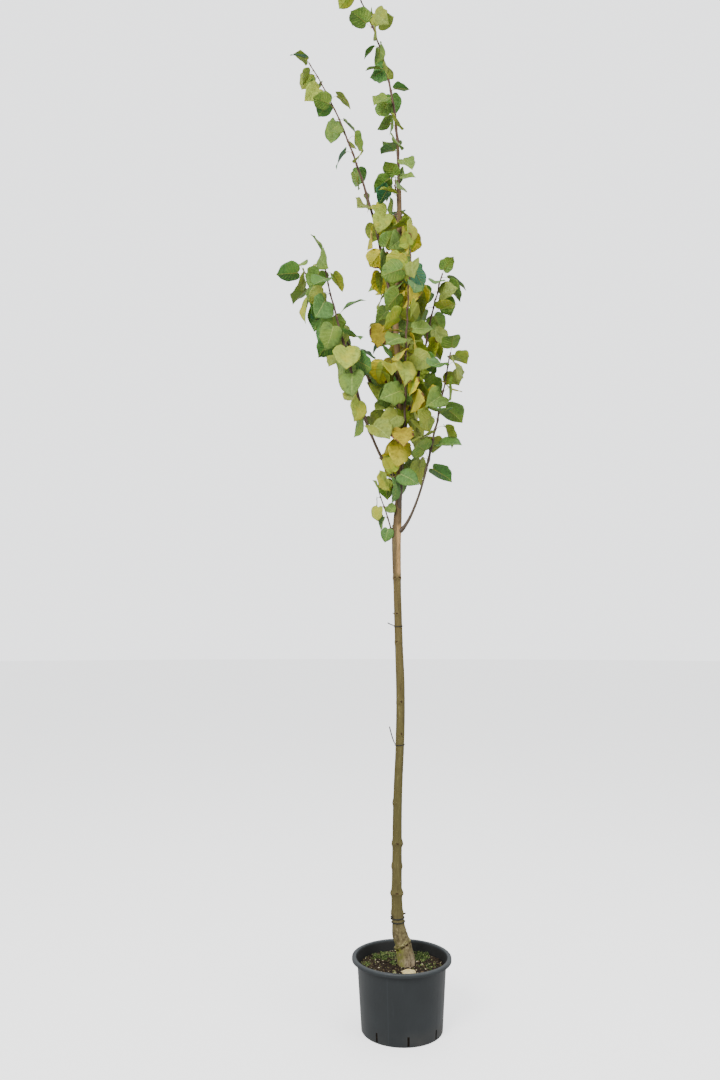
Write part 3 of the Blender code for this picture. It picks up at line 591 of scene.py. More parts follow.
def shoot_frame(shoot):
    """Points and radii of a shoot's bough and stem, with no leaves yet."""
    bough = []
    bough_radii = []
    if shoot.bough:
        for step in range(BOUGH_POINTS):
            share = shoot.bare * (step / BOUGH_POINTS) ** BOUGH_CROWD
            bough.append(shoot_point(shoot, share))
            bough_radii.append(shoot_radius(shoot, share))
    joint = shoot_point(shoot, shoot.bare if shoot.bough else 0.0)
    along = shoot_direction(shoot, shoot.bare if shoot.bough else TWIG_START)
    radius = shoot_radius(shoot, shoot.bare if shoot.bough else 0.0)
    if shoot.bough:
        bough += [joint - along * JOINT_STEP, joint]
        bough_radii += [radius, radius]
        stem = [joint + along * GAP, joint + along * JOINT_STEP]
        radii = [radius, radius]
    else:
        stem = [joint, shoot_point(shoot, TWIG_HEEL)]
        radii = [radius, shoot_radius(shoot, TWIG_HEEL)]
    for index in range(shoot.leaves):
        share = leaf_share(shoot, index)
        rank = rank_of(shoot, index, shoot.dice(index))
        point = shoot_point(shoot, share) - bearing(rank) * NODE_KINK
        if (point - stem[-1]).length > STEM_STEP:
            stem.append(point)
            radii.append(shoot_radius(shoot, share))
    return Growth(shoot, bough, bough_radii, stem, radii, [])


leader = shoot_frame(SHOOTS[0])
print("points on the leader's stem:", len(leader.stem))

# %% [markdown]
# ## Leaves on a stem
#
# Each leaf gets a few tries. It stays when its blade keeps near its own stem and nothing is in
# its way, and its place stays empty when no try finds that.

# %% Growing leaves
RETRY_TURN = 9.0  # degrees by which each new try may turn farther


def leaf_foot(stem, point):
    """Where a stalk starts: on the stem's axis, a step past the kink nearest to a point."""
    index = min(range(len(stem) - 1), key=lambda number: (stem[number] - point).length)
    return stem[index] + (stem[index + 1] - stem[index]).normalized() * NODE_STEP


def stays_near(growth, leaf):
    """True where the blade's outline keeps to the space round its own stem."""
    for x, y in LEAF_HALF_OUTLINE:
        for side in (-1.0, 1.0):
            corner = leaf.place @ Vector((x, y * side, 0.0))
            nearest = min((corner - limb_point(low, high, corner)).length
                          for low, high in zip(growth.stem[:-1], growth.stem[1:]))
            if nearest > growth.shoot.space:
                return False
    return True


def limb_point(low, high, corner):
    """Nearest point to a corner on the stretch of limb between two points."""
    span = high - low
    share = (corner - low).dot(span) / span.length_squared
    return low + span * within(share, 0.0, 1.0)


def grow_leaves(growth, room):
    """Hang the leaves of one shoot wherever there is room for them."""
    shoot = growth.shoot
    for index in range(shoot.leaves):
        share = leaf_share(shoot, index)
        node = leaf_foot(growth.stem, shoot_point(shoot, share))
        direction = shoot_direction(shoot, share)
        order = index / max(shoot.leaves - 1, 1)
        for attempt in range(LEAF_TRIES):
            dice = shoot.dice(index, attempt)
            rank = rank_of(shoot, index, dice) + dice.uniform(-RETRY_TURN, RETRY_TURN) * attempt
            if index == shoot.leaves - 1:
                along = (growth.stem[-1] - growth.stem[-2]).normalized()
                leaf = draw_end_leaf(shoot, growth.stem[-1], along, dice)
            else:
                leaf = draw_leaf(shoot, node, direction, rank, order, dice)
            if stays_near(growth, leaf) and room.admits(shoot.name, leaf):
                room.take(leaf)
                growth.leaves.append(leaf)
                break


print("tries for each leaf:", LEAF_TRIES)

# %% [markdown]
# ## The whole crown
#
# All limbs are laid out first, so that no leaf is hung where a later bough passes. Short twigs up
# the trunk are turned and lifted until no limb is in their way.

# %% Growing the crown
def spur_shoots(room):
    """Short twigs up the trunk, each turned to a side where no limb is in its way."""
    spurs = []
    for index in range(SPUR_COUNT):
        share = index / (SPUR_COUNT - 1)
        for turn in range(SPUR_TURNS):
            sign = 1.0 if turn % 2 else -1.0
            azimuth = (SPUR_FIRST_AZIMUTH + GOLDEN_ANGLE * index
                       + sign * SPUR_TURN * ((turn + 1) // 2))
            start = blend(SPUR_LOW, SPUR_HIGH, share) + SPUR_CLIMB * turn
            spur = Shoot(f"trunk_{index + 1:02d}", azimuth, start, SPUR_RISE, SPUR_REACH,
                         SPUR_POWER, SPUR_ROOT, SPUR_TIP, SPUR_BARE, SPUR_LEAVES, SPUR_BLADES,
                         SPUR_SPACE, SPUR_SPREAD, (SPUR_SEED + index,), bough=False)
            growth = shoot_frame(spur)
            if stem_is_clear(growth, room):
                break
        room.add_limb(spur.name, growth.stem, growth.stem_radii)
        spurs.append(growth)
    return spurs


def stem_is_clear(growth, room):
    """True where a twig's stem keeps away from every bough."""
    others = room.limbs[[name != "trunk" for name in room.owners]]
    for low, high in zip(growth.stem[:-1], growth.stem[1:]):
        for share in (0.0, 0.25, 0.5, 0.75, 1.0):
            point = np.array(low.lerp(high, share))
            if (np.linalg.norm(others[:, :3] - point, axis=1) < others[:, 3] + SPUR_ROOM).any():
                return False
    return True


def trunk_heights():
    """Ring heights: even steps, one at each bend and tie, three at each knob."""
    low = TRUNK_STATIONS[0][0]
    high = TRUNK_STATIONS[-1][0]
    heights = {low, high, *TRUNK_BENDS}
    count = round((high - low) / TRUNK_RING_STEP)
    for step in range(1, count):
        heights.add(round(low + (high - low) * step / count, 4))
    for knob_height, _, _ in TRUNK_KNOBS:
        for shift in (-KNOB_HEIGHT, 0.0, KNOB_HEIGHT):
            heights.add(round(knob_height + shift, 4))
    for tie_height, _, _, _, wire in TIES.values():
        heights.add(round(tie_height + wire, 4))
    kept = []
    for height in sorted(heights):
        if not kept or height - kept[-1] > TRUNK_RING_SPACE:
            kept.append(height)
    kept[-1] = high
    return kept


def lay_out_crown():
    """Limbs first, so every one is known, and then the leaves of each shoot in turn."""
    room = Room()
    centres, radii = zip(*[trunk_at(height) for height in trunk_heights()])
    room.add_limb("trunk", centres, radii)
    growths = []
    for shoot in SHOOTS:
        growth = shoot_frame(shoot)
        room.add_limb(shoot.name, growth.bough + growth.stem,
                      growth.bough_radii + growth.stem_radii)
        growths.append(growth)
    growths += spur_shoots(room)
    for growth in growths:
        grow_leaves(growth, room)
    return growths, room


growths, room = lay_out_crown()
print("leaves:", sum(len(growth.leaves) for growth in growths))

# %% [markdown]
# ## Smaller leaves in between
#
# The solids carry the leaves that give the crown its outline. A real shoot also has smaller ones
# between them, so a second round hangs some on the same stems wherever there is still room. They
# stay within the space that the shoot's own leaves may reach.

# %% Second leaves
SECOND_SHARE = 0.45  # second leaves for each of a shoot's own
SECOND_TRIES = 10
TRUNK_TWIG_TRIES = 16  # the short twigs on the trunk are fuller, so they try more often
SECOND_BLADE = 0.88
SECOND_FIRST = 0.7  # leaf steps to the first of them
SECOND_LAST = 0.6
SECOND_STRIDE = 7919  # between the seeds of two shoots
SECOND_SEEDS = {
    "leader": 5, "upper_left": 8, "lower_left": 7, "middle_left": 86, "lower_right": 30,
    "upper_right": 94, "front": 5, "back": 84, "fork_twig": 82, "trunk_01": 46, "trunk_02": 26,
    "trunk_03": 16, "trunk_04": 11, "trunk_05": 36, "trunk_06": 24, "trunk_07": 29, "trunk_08": 38,
    "trunk_09": 25, "trunk_10": 14, "trunk_11": 54, "trunk_12": 31, "trunk_13": 56, "trunk_14": 17,
}


def grow_second_leaves(growth, room, count, tries):
    """Hang so many smaller leaves on a grown shoot, wherever a try finds room for one."""
    shoot = growth.shoot
    smaller = replace(shoot, blades=tuple(length * SECOND_BLADE for length in shoot.blades))
    bare = shoot.bare if shoot.bough else 0.0
    for number in range(count):
        share = bare + (1.0 - bare) * (number + SECOND_FIRST) / (count + SECOND_LAST)
        node = leaf_foot(growth.stem, shoot_point(shoot, share))
        direction = shoot_direction(shoot, share)
        for attempt in range(tries):
            seed = SECOND_SEEDS[shoot.name] * SECOND_STRIDE + number * LEAF_STRIDE + attempt
            dice = random.Random(seed)
            rank = dice.uniform(0.0, 360.0)
            leaf = draw_leaf(smaller, node, direction, rank, (number + 0.5) / count, dice)
            if stays_near(growth, leaf) and room.admits(shoot.name, leaf):
                room.take(leaf)
                growth.leaves.append(leaf)
                break


for growth in growths:
    if growth.shoot.name.startswith("trunk"):
        grow_second_leaves(growth, room, SPUR_LEAVES, TRUNK_TWIG_TRIES)
    else:
        wanted = round(growth.shoot.leaves * SECOND_SHARE)
        grow_second_leaves(growth, room, wanted, SECOND_TRIES)
print("with the second ones:", sum(len(growth.leaves) for growth in growths))

# %% [markdown]
# ## Shader sums as plain expressions
#
# A pattern is easier to read as a sum than as a row of nodes. A small class wraps an output
# socket, so that 1 - mask or height * 2 adds the Math nodes by itself.

# %% Wires
def tone(code):
    """A colour of six hexadecimal digits, in the light values that Blender uses."""
    channels = [int(code[place:place + 2], 16) / 255.0 for place in (0, 2, 4)]
    return (*[value / 12.92 if value <= 0.04045 else ((value + 0.055) / 1.055) ** 2.4
              for value in channels], 1.0)


def feed(tree, socket, value):
    """Give a socket a link where the value is a wire, or else a number, row or colour code."""
    if isinstance(value, Wire):
        tree.links.new(value.socket, socket)
    else:
        socket.default_value = tone(value) if isinstance(value, str) else value


class Wire:
    """A node's output, which can stand in sums with numbers and other wires."""

    def __init__(self, socket):
        self.socket = socket

    def sum(self, operation, first, second):
        tree = self.socket.id_data
        node = tree.nodes.new("ShaderNodeMath")
        node.operation = operation
        feed(tree, node.inputs[0], first)
        feed(tree, node.inputs[1], second)
        return Wire(node.outputs[0])

    def __add__(self, other):
        return self.sum("ADD", self, other)

    def __radd__(self, other):
        return self.sum("ADD", other, self)

    def __sub__(self, other):
        return self.sum("SUBTRACT", self, other)

    def __rsub__(self, other):
        return self.sum("SUBTRACT", other, self)

    def __mul__(self, other):
        return self.sum("MULTIPLY", self, other)

    def __rmul__(self, other):
        return self.sum("MULTIPLY", other, self)


print("a mid grey is", [round(value, 3) for value in tone("808080")])

# %% [markdown]
# ## One finish at a time
#
# Another class holds one material. Its method called node makes any other node from its settings
# and its sockets, and the short methods after it are the few that nearly every finish needs.

# %% Finishes
PLACE_OUTPUT = 3  # the object's own coordinates
MIX_SOCKETS = (0, 6, 7)  # the amount and the two colours of a Mix node
MIX_OUTPUT = 2  # and the colour that comes out


class Finish:
    """One material: a Principled shader and the nodes that feed it."""

    def __init__(self, name, roughness, **constants):
        self.material = bpy.data.materials.new(name)
        self.material.use_nodes = True
        self.tree = self.material.node_tree
        self.shader = self.tree.nodes["Principled BSDF"]
        self.feed("Roughness", roughness)
        for socket, value in constants.items():
            self.feed(socket.replace("_", " "), value)

    def feed(self, socket, value):
        feed(self.tree, self.shader.inputs[socket], value)

    def node(self, kind, settings=None, sockets=None, output=0):
        """Any node: its settings come first, then the values or wires of its sockets."""
        node = self.tree.nodes.new(kind)
        for name, value in (settings or {}).items():
            if name == "stops":
                self.set_stops(node.color_ramp, value)
            else:
                setattr(node, name, value)
        for name, value in (sockets or {}).items():
            feed(self.tree, node.inputs[name], value)
        return Wire(node.outputs[output])

    def set_stops(self, ramp, stops):
        while len(ramp.elements) < len(stops):
            ramp.elements.new(0.5)
        for element, (position, colour) in zip(ramp.elements, stops):
            element.position = position
            element.color = tone(colour) if isinstance(colour, str) else colour

    def place(self, x=1.0, y=1.0, z=1.0):
        """A point's own place, stretched, so that a pattern can run along the grain."""
        spot = self.node("ShaderNodeTexCoord", output=PLACE_OUTPUT)
        return self.node("ShaderNodeVectorMath", {"operation": "MULTIPLY"}, {0: spot, 1: (x, y, z)})

    def along(self, axis):
        """One of the three values of a point's own place."""
        spot = self.node("ShaderNodeTexCoord", output=PLACE_OUTPUT)
        return self.node("ShaderNodeSeparateXYZ", None, {0: spot}, "XYZ".index(axis))

    def noise(self, scale, detail=3.0, place=None, roughness=0.5):
        sockets = {"Scale": scale, "Detail": detail, "Roughness": roughness,
                   "Vector": place or self.place()}
        return self.node("ShaderNodeTexNoise", None, sockets)

    def ramp(self, amount, *stops):
        return self.node("ShaderNodeValToRGB", {"stops": stops}, {"Fac": amount})

    def step(self, amount, low, high):
        """0 below the low value and 1 above the high one, smooth between them."""
        sockets = {"Value": amount, "From Min": low, "From Max": high}
        return self.node("ShaderNodeMapRange", {"interpolation_type": "SMOOTHSTEP"}, sockets)

    def mix(self, amount, first, second):
        sockets = dict(zip(MIX_SOCKETS, (amount, first, second)))
        return self.node("ShaderNodeMix", {"data_type": "RGBA"}, sockets, MIX_OUTPUT)

    def bump(self, height, distance, strength=1.0):
        sockets = {"Height": height, "Distance": distance, "Strength": strength}
        self.feed("Normal", self.node("ShaderNodeBump", None, sockets))


sample = Finish("sample", 0.5)
print("a new finish has", len(sample.tree.nodes), "nodes")
bpy.data.materials.remove(sample.material)

# %% [markdown]
# ## Bark
#
# The stem is olive brown and fairly smooth, tan where it was rubbed just under the fork and a
# lighter, warmer brown above. A ramp over the height gives those zones, and noise that is
# stretched upward gives the streaks. Small pale pores, and a green bloom of algae on the left of
# the foot, make it a stem that has stood outside.

# %% Bark finish
CROWN_TOP = TRUNK_STATIONS[-1][0]
RUBBED_LOW = 1.915  # the tan stretch under the fork
RUBBED_HIGH = 2.16
RUBBED_BLUR = 0.03  # how softly the tan begins and ends
OLD_BARK_TOP = 0.43  # below it the bark is mottled and rough
OLD_BARK_BLUR = 0.05
BLOOM_TOP = 0.372  # where the green bloom fades out
BLOOM_FULL = 0.325


def bark_finish():
    """The trunk's bark: zones by height, then streaks, blotches, bloom and pores over them."""
    finish = Finish("trunk_bark", 0.8, Specular_IOR_Level=0.25)
    wander = finish.noise(7.0, 3.0)
    height = finish.along("Z") + (wander - 0.5) * 0.10
    zones = finish.ramp(height * (1.0 / CROWN_TOP),
                        (0.062, "8f7c62"), (0.074, "9a8c72"), (0.084, "776c4d"),
                        (0.130, "5b5430"), (0.240, "554f2b"), (0.340, "5a522d"),
                        (0.500, "615431"), (0.555, "5f4d34"), (0.700, "6f583a"),
                        (0.860, "7a6142"), (0.980, "64503a"))
    streak = finish.noise(1.0, 6.0, finish.place(85.0, 85.0, 9.0), 0.66)
    fine = finish.noise(1.0, 5.0, finish.place(280.0, 280.0, 80.0), 0.65)
    above = finish.step(height, RUBBED_LOW, RUBBED_LOW + RUBBED_BLUR)
    rubbed = above * finish.step(height, RUBBED_HIGH, RUBBED_HIGH - RUBBED_BLUR)
    # The tan stretch turns dark olive brown, in streaks, towards the trunk's left side
    darker_left = finish.step(finish.along("X") + (streak - 0.5) * 0.045, -0.004, -0.019)
    tan = finish.mix(darker_left * 0.92, "b8925f", "514630")
    colour = finish.mix(rubbed * 0.90, zones, tan)
    colour = finish.mix(finish.step(streak, 0.50, 0.70) * 0.60, colour, "3b301b")
    colour = finish.mix(finish.step(streak, 0.42, 0.30) * 0.38, colour, "938a5c")
    colour = finish.mix(finish.step(fine, 0.60, 0.72) * 0.36, colour, "ad9c6e")
    blotch = finish.step(finish.noise(1.0, 4.0, finish.place(45.0, 45.0, 18.0), 0.6), 0.52, 0.66)
    colour = finish.mix(blotch * 0.38, colour, "4b4324")
    old = finish.step(height, OLD_BARK_TOP, OLD_BARK_TOP - OLD_BARK_BLUR)
    patches = finish.noise(1.0, 5.0, finish.place(70.0, 70.0, 55.0), 0.7)
    colour = finish.mix(finish.step(patches, 0.50, 0.62) * old * 0.75, colour, "413723")
    colour = finish.mix(finish.step(patches, 0.44, 0.34) * old * 0.60, colour, "b09c78")
    left = finish.step(finish.along("X") + (wander - 0.5) * 0.04, 0.024, -0.006)
    bloom = finish.step(finish.noise(48.0, 5.0, None, 0.7), 0.34, 0.54) * left
    bloom = bloom * finish.step(height, BLOOM_TOP, BLOOM_FULL)
    colour = finish.mix(bloom * 0.78, colour, "737a2e")
    cells = {"Scale": 1.0, "Vector": finish.place(150.0, 150.0, 75.0)}
    pores = finish.step(finish.node("ShaderNodeTexVoronoi", None, cells), 0.16, 0.10)
    colour = finish.mix(pores * 0.50, colour, "a28c60")
    finish.feed("Base Color", colour)
    finish.feed("Roughness", 0.70 + fine * 0.2)
    finish.bump(streak * 0.8 + fine * 0.6 + pores * 0.5 + patches * old * 1.6, 0.0026, 0.9)
    return finish.material


def scar_and_crevice_shade_finish():
    """The dark corky middle of an old knob, and painted shade in the crevices under the callus."""
    finish = Finish("bark_scar", 0.9, Specular_IOR_Level=0.15)
    cork = finish.noise(260.0, 4.0)
    finish.feed("Base Color", finish.ramp(cork, (0.35, "1d150d"), (0.65, "4a3822")))
    finish.bump(cork, 0.0015, 0.9)
    return finish.material


def callus_highlight_finish():
    """Rough grey bark where the graft has healed; its paler tones are a painted highlight on the ridge.
    """
    finish = Finish("bark_callus", 0.9, Specular_IOR_Level=0.2)
    cork = finish.noise(1.0, 5.0, finish.place(160.0, 160.0, 90.0), 0.7)
    # The grey callus colour, with its pale end as a painted highlight on the ridge's top
    finish.feed("Base Color", finish.ramp(cork, (0.36, "2f2717"), (0.48, "6f6740"),
                                          (0.60, "a59f6e"), (0.72, "c9bf94")))
    finish.bump(cork, 0.0030, 1.0)
    return finish.material


BARK = [bark_finish(), scar_and_crevice_shade_finish(), callus_highlight_finish()]
print("nodes in the bark's finish:", len(BARK[0].node_tree.nodes))

# %% [markdown]
# ## Young bark, stalks and buds
#
# The shoots of the last two years are smooth and brown with a light gloss, spotted with pale
# pores. The leaf stalks are yellow green with a touch of red, and the buds are plump and red.

# %% Shoot finishes
SHOOTS_OLD = 2.3  # below this height the shoots are greyer
SHOOTS_YOUNG = 3.0


def shoot_finish(name, base, old, spot, roughness):
    """A smooth finish with a second tone for the older shoots and a third for the spots."""
    finish = Finish(name, roughness, Specular_IOR_Level=0.4)
    grain = finish.noise(1.0, 4.0, finish.place(300.0, 300.0, 90.0), 0.6)
    patch = finish.noise(14.0, 2.0)
    young = finish.step(finish.along("Z"), SHOOTS_OLD, SHOOTS_YOUNG)
    colour = finish.mix(young, old, base)
    colour = finish.mix(finish.step(grain, 0.56, 0.74) * 0.22, colour, spot)
    colour = finish.mix(finish.step(patch, 0.35, 0.75) * 0.30, colour, "2c1a15")
    finish.feed("Base Color", colour)
    finish.feed("Roughness", roughness - 0.08 + grain * 0.16)
    finish.bump(grain, 0.0006, 0.6)
    return finish.material


YOUNG_BARK = shoot_finish("young_bark", "4c3324", "483c2c", "785d44", 0.50)
STALK = shoot_finish("stalk_skin", "85802f", "8a8436", "94583a", 0.50)
BUD = shoot_finish("bud_skin", "743a28", "6e3c2c", "94602f", 0.42)
print("finishes so far:", len(bpy.data.materials))

# %% [markdown]
# ## Leaf tints
#
# Autumn has begun inside the crown: most leaves are still green, from olive to a cool green, and a
# few are a blue green that is painted shade, for upper sides turned away from the light, with a
# painted reflection of the pale sky in it. Some near the trunk are lime, yellow or amber with brown
# edges. Every tint is a plain base colour with a light mottling and patches of a second one, and the
# rule deals one out to each leaf. Each tint has a duller and greyer underside, as a linden leaf has.

# %% Leaf finishes
# Upper side, underside, and the patches that both have
LEAF_TINTS = {
    "olive": ("7b8c2e", "7f8e3c", "8b922a"),
    "green": ("5a7c2a", "637f35", "748b2e"),
    "cool": ("42702d", "517739", "547b2c"),
    # Painted shade: the blue green of an upper side turned away from the light, with a painted
    # reflection of the sky
    "teal": ("2f6844", "447350", "3b7240"),
    "lime": ("92a62c", "94a43e", "ada92a"),
    "yellow": ("c8b81c", "b8ac2c", "94982c"),
    "amber": ("b09e14", "a6961e", "86741c"),
    "edge": ("6b4119", "704f2b", "4f3115"),
    "vein": ("8fa347", "93a557", "9ea94a"),
}
DEEP = 0.58  # the mottling's dark and light, as shares of the base colour
LIGHT = 1.24
UPPER_ROUGHNESS = 0.48
UNDER_ROUGHNESS = 0.70


def leaf_finish(name, base, second, roughness):
    """A mottled blade with a fine net of veins in its relief."""
    finish = Finish(name, roughness, Specular_IOR_Level=0.35, Subsurface_Weight=0.10,
                    Subsurface_Radius=(0.0020, 0.0030, 0.0008), Subsurface_Scale=0.6)
    mottle = finish.noise(70.0, 4.0, None, 0.6)
    patch = finish.noise(13.0, 2.0)
    plain = Vector(tone(base)[:3])
    deep = (*(plain * DEEP), 1.0)
    light = (*(plain * LIGHT), 1.0)
    colour = finish.ramp(mottle, (0.30, deep), (0.52, base), (0.74, light))
    patches = finish.step(patch, 0.46, 0.62) * 0.65
    finish.feed("Base Color", finish.mix(patches, colour, second))
    net = {"feature": "DISTANCE_TO_EDGE"}
    mesh = finish.node("ShaderNodeTexVoronoi", net, {"Scale": 420.0, "Vector": finish.place()})
    finish.bump(finish.step(mesh, 0.0, 0.12) * 0.5 + mottle, 0.0009, 0.6)
    return finish.material


def leaf_finishes():
    """For each tint the upper side, and in the next slot the underside."""
    made = []
    for name, (upper, under, second) in LEAF_TINTS.items():
        made.append(leaf_finish(f"leaf_{name}", upper, second, UPPER_ROUGHNESS))
        made.append(leaf_finish(f"leaf_{name}_underside", under, second, UNDER_ROUGHNESS))
    return made


LEAF_FINISHES = leaf_finishes()
SLOT_OF = {name: 2 * place for place, name in enumerate(LEAF_TINTS)}
print("leaf finishes:", len(LEAF_FINISHES))

# %% [markdown]
# ## Gathering faces into pieces
#
# Many small shapes make up one piece, so their corners and faces are gathered in lists, each face
# with the number of its finish, and one mesh is made of them at the end. A round tube along a
# line of points serves for limbs, stalks and wires: its rings are carried along without twisting.

# %% Skins, pieces and tubes
class Skin:
    """Corners, faces and each face's finish number, for one piece."""

    def __init__(self):
        self.corners = []
        self.faces = []
        self.wear = []

    def join(self, corners, faces, wear):
        """Add a shape; its wear is one finish number, or a number for each face."""
        first = len(self.corners)
        self.corners += [tuple(corner) for corner in corners]
        self.faces += [tuple(first + corner for corner in face) for face in faces]
        self.wear += [wear] * len(faces) if isinstance(wear, int) else list(wear)


def make_piece(name, skin, finishes, nodes=(), smooth=True):
    """One object of the gathered faces, which rides on the tree and stands for its nodes."""
    mesh = bpy.data.meshes.new(name)
    mesh.from_pydata(skin.corners, [], skin.faces)
    for finish in finishes:
        mesh.materials.append(finish)
    mesh.polygons.foreach_set("material_index", skin.wear)
    if smooth:
        mesh.shade_smooth()
    piece = put_object(name, mesh)
    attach(piece, "root")
    if nodes:
        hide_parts(*nodes)
    return piece


def apply_modifiers(piece):
    """Keep what the modifiers make of a mesh, and drop the modifiers."""
    bpy.context.view_layer.update()
    graph = bpy.context.evaluated_depsgraph_get()
    mesh = bpy.data.meshes.new_from_object(piece.evaluated_get(graph))
    piece.modifiers.clear()
    piece.data = mesh


def smooth_line(points, steps):
    """A Catmull-Rom curve through points of any number of values, with steps to each stretch."""
    rows = [np.array(point, dtype=float) for point in points]
    rows = [2 * rows[0] - rows[1]] + rows + [2 * rows[-1] - rows[-2]]
    line = []
    for index in range(1, len(rows) - 2):
        before, low, high, after = rows[index - 1:index + 3]
        for step in range(steps):
            share = step / steps
            line.append(0.5 * (2 * low + (high - before) * share
                               + (2 * before - 5 * low + 4 * high - after) * share ** 2
                               + (3 * low - before - 3 * high + after) * share ** 3))
    line.append(rows[-2])
    return np.array(line)


def band(low, high, sides):
    """Faces between two rings, by the numbers of their first corners."""
    return [(low + side, high + side, high + (side + 1) % sides, low + (side + 1) % sides)
            for side in range(sides)]


def tube_faces(rings, sides):
    """The two ends of a closed tube, and the faces between one ring and the next."""
    faces = [tuple(reversed(range(sides))), tuple(rings * sides + side for side in range(sides))]
    for ring in range(rings):
        for side in range(sides):
            other = (side + 1) % sides
            faces.append((ring * sides + side, ring * sides + other,
                          (ring + 1) * sides + other, (ring + 1) * sides + side))
    return faces


def tube(skin, points, radii, sides, wear):
    """A tapering tube with closed ends."""
    points = [Vector(point) for point in points]
    across = (points[1] - points[0]).orthogonal().normalized()
    corners = []
    last = len(points) - 1
    for index, (point, radius) in enumerate(zip(points, radii)):
        way = (points[min(index + 1, last)] - points[max(index - 1, 0)]).normalized()
        across = (across - way * across.dot(way)).normalized()
        above = way.cross(across)
        for side in range(sides):
            turn = 2.0 * math.pi * side / sides
            corners.append(point + (across * math.cos(turn) + above * math.sin(turn)) * radius)
    skin.join(corners, tube_faces(last, sides), wear)


print("faces of a tube with one ring more and six sides:", len(tube_faces(1, 6)))

# %% [markdown]
# ## The bark's relief
#
# Old knobs with a scar in their middle, the graft's callus near the foot and shallow furrows all
# lift or sink the trunk's face. Doing this in the mesh gives a true outline, which a bump map
# alone can't. The relief is a formula of height and azimuth, like the trunk itself.

# %% Bark relief
SCAR_SHARE = 0.42  # a scar's width in its knob
SCAR_DARK = 0.34
SCAR_DEPTH = 0.45  # of the knob's own height
# Crevices under the callus get the scars' dark finish as painted shade, from this depth in
CREVICE_SHADE_FROM = 0.55  # how deep in a crevice its dark finish begins
RING_LIFT = 0.0012  # a low ring goes all round at each pair of knobs
RING_NARROW = 2.2  # how much lower than a knob it is
RING_SHIFT = 0.5  # how far under the knob's middle it lies
RING_WIDE = 0.5  # and how fast it fades round the trunk
FURROW = 0.0007
GRAFT_HEIGHT = 0.342  # a callus that runs slantwise round the foot
GRAFT_SLANT = 0.018
GRAFT_LIFT = 0.0070
GRAFT_WIDTH = 0.0080
CREVICE_DROP = 0.0125  # how far under the callus the crevice lies
CREVICE_DEPTH = 0.0050
CREASE_HEIGHT = 0.398  # a thin crease above it
CREASE_SLANT = -0.007
CREASE_DEPTH = 0.0032
CREASE_WIDTH = 0.0035
FOOT_LUMPS = 0.0045  # how uneven the oldest bark is
FOOT_REACH = 0.12  # and how far up from the soil
# The scar finish is also painted shade in the crevices, and the callus finish carries a painted
# highlight
BARK_WEAR = {"bark": 0, "scar": 1, "callus": 2}


def scar_at(height, azimuth):
    """Knobs with a dimple where the old shoot came off."""
    lift = 0.0
    for knob in TRUNK_KNOBS:
        rise, turn = from_knob(height, azimuth, knob)
        lift += knob[2] * math.exp(-rise ** 2 - turn ** 2)
        lift -= knob[2] * SCAR_DEPTH * math.exp(-(rise ** 2 + turn ** 2) / SCAR_SHARE ** 2)
        lift += RING_LIFT * math.exp(-(rise * RING_NARROW + RING_SHIFT) ** 2
                                     - (turn * RING_WIDE) ** 2)
    return lift


def bark_noise(height, azimuth, across, upward):
    """Noise on the trunk's face, finer with larger numbers across and upward."""
    around = bearing(azimuth)
    return noise.noise(Vector((around.x * across, around.y * across, height * upward)))


def bark_relief(height, azimuth):
    """Furrows, fine wrinkles, the graft's callus and the crease above it."""
    furrow = bark_noise(height, azimuth, 2.6, 9.0)
    wrinkle = bark_noise(height, azimuth, 6.0, 55.0)
    knots = bark_noise(height, azimuth, 3.5, 30.0)
    callus = math.exp(-(from_graft(height, azimuth) / GRAFT_WIDTH) ** 2)
    callus *= 0.8 + 0.8 * furrow + 0.9 * wrinkle
    slant = CREASE_HEIGHT + CREASE_SLANT * math.cos(math.radians(azimuth + 30.0))
    crease = math.exp(-((height - slant) / CREASE_WIDTH) ** 2) * (0.6 + wrinkle)
    foot = math.exp(-((height - SOIL_HEIGHT) / FOOT_REACH) ** 2)
    lumps = FOOT_LUMPS * foot * (knots + 0.5 * furrow)
    lift = FURROW * (furrow * 1.6 + wrinkle * 0.8) + lumps + GRAFT_LIFT * callus
    return lift - CREVICE_DEPTH * crevice_at(height, azimuth) - CREASE_DEPTH * crease


def from_graft(height, azimuth):
    """Height above the callus, which runs slantwise round the trunk."""
    return height - GRAFT_HEIGHT - GRAFT_SLANT * math.cos(math.radians(azimuth + 20.0))


def crevice_at(height, azimuth):
    """1 in the middle of the sunk gaps under the callus, which get painted shade, 0 away from them."""
    gap = noise.noise(Vector((azimuth * 0.045, 0.0, 7.0))) + 0.25
    across = math.exp(-((from_graft(height, azimuth) + CREVICE_DROP) / (GRAFT_WIDTH * 0.7)) ** 2)
    return across * within(gap * 2.5, 0.0, 1.0)


def bark_wear(height, azimuth):
    """The finish of a face: dark in knobs, painted shade in crevices, grey with a painted highlight on
    the callus, else plain bark.
    """
    # Painted shade: faces deep in a crevice get the dark scar finish
    if crevice_at(height, azimuth) > CREVICE_SHADE_FROM:
        return BARK_WEAR["scar"]
    for knob in TRUNK_KNOBS:
        rise, turn = from_knob(height, azimuth, knob)
        if math.hypot(rise, turn) < SCAR_DARK:
            return BARK_WEAR["scar"]
    ragged = noise.noise(Vector((azimuth * 0.05, height * 60.0, 2.0)))
    if abs(from_graft(height, azimuth)) < GRAFT_WIDTH * (0.55 + 0.6 * ragged):
        return BARK_WEAR["callus"]
    return BARK_WEAR["bark"]


print("the first knob lifts the bark by", round(scar_at(0.470, 180.0), 4))

# %% [markdown]
# ## The trunk's skin
#
# The trunk is rings of corners whose radius follows the formula, with the relief added to it. The
# pruned top is a slanting cut, and a few broken twig ends stand out with the scars' dark finish.

# %% Trunk
TRUNK_FINE_SIDES = 52
TRUNK_FINE_STEP = 0.0032
TRUNK_SHARP = 55.0  # edges bent by more degrees than this stay sharp
CUT_SLANT = 0.012  # fall of the pruned top across the trunk
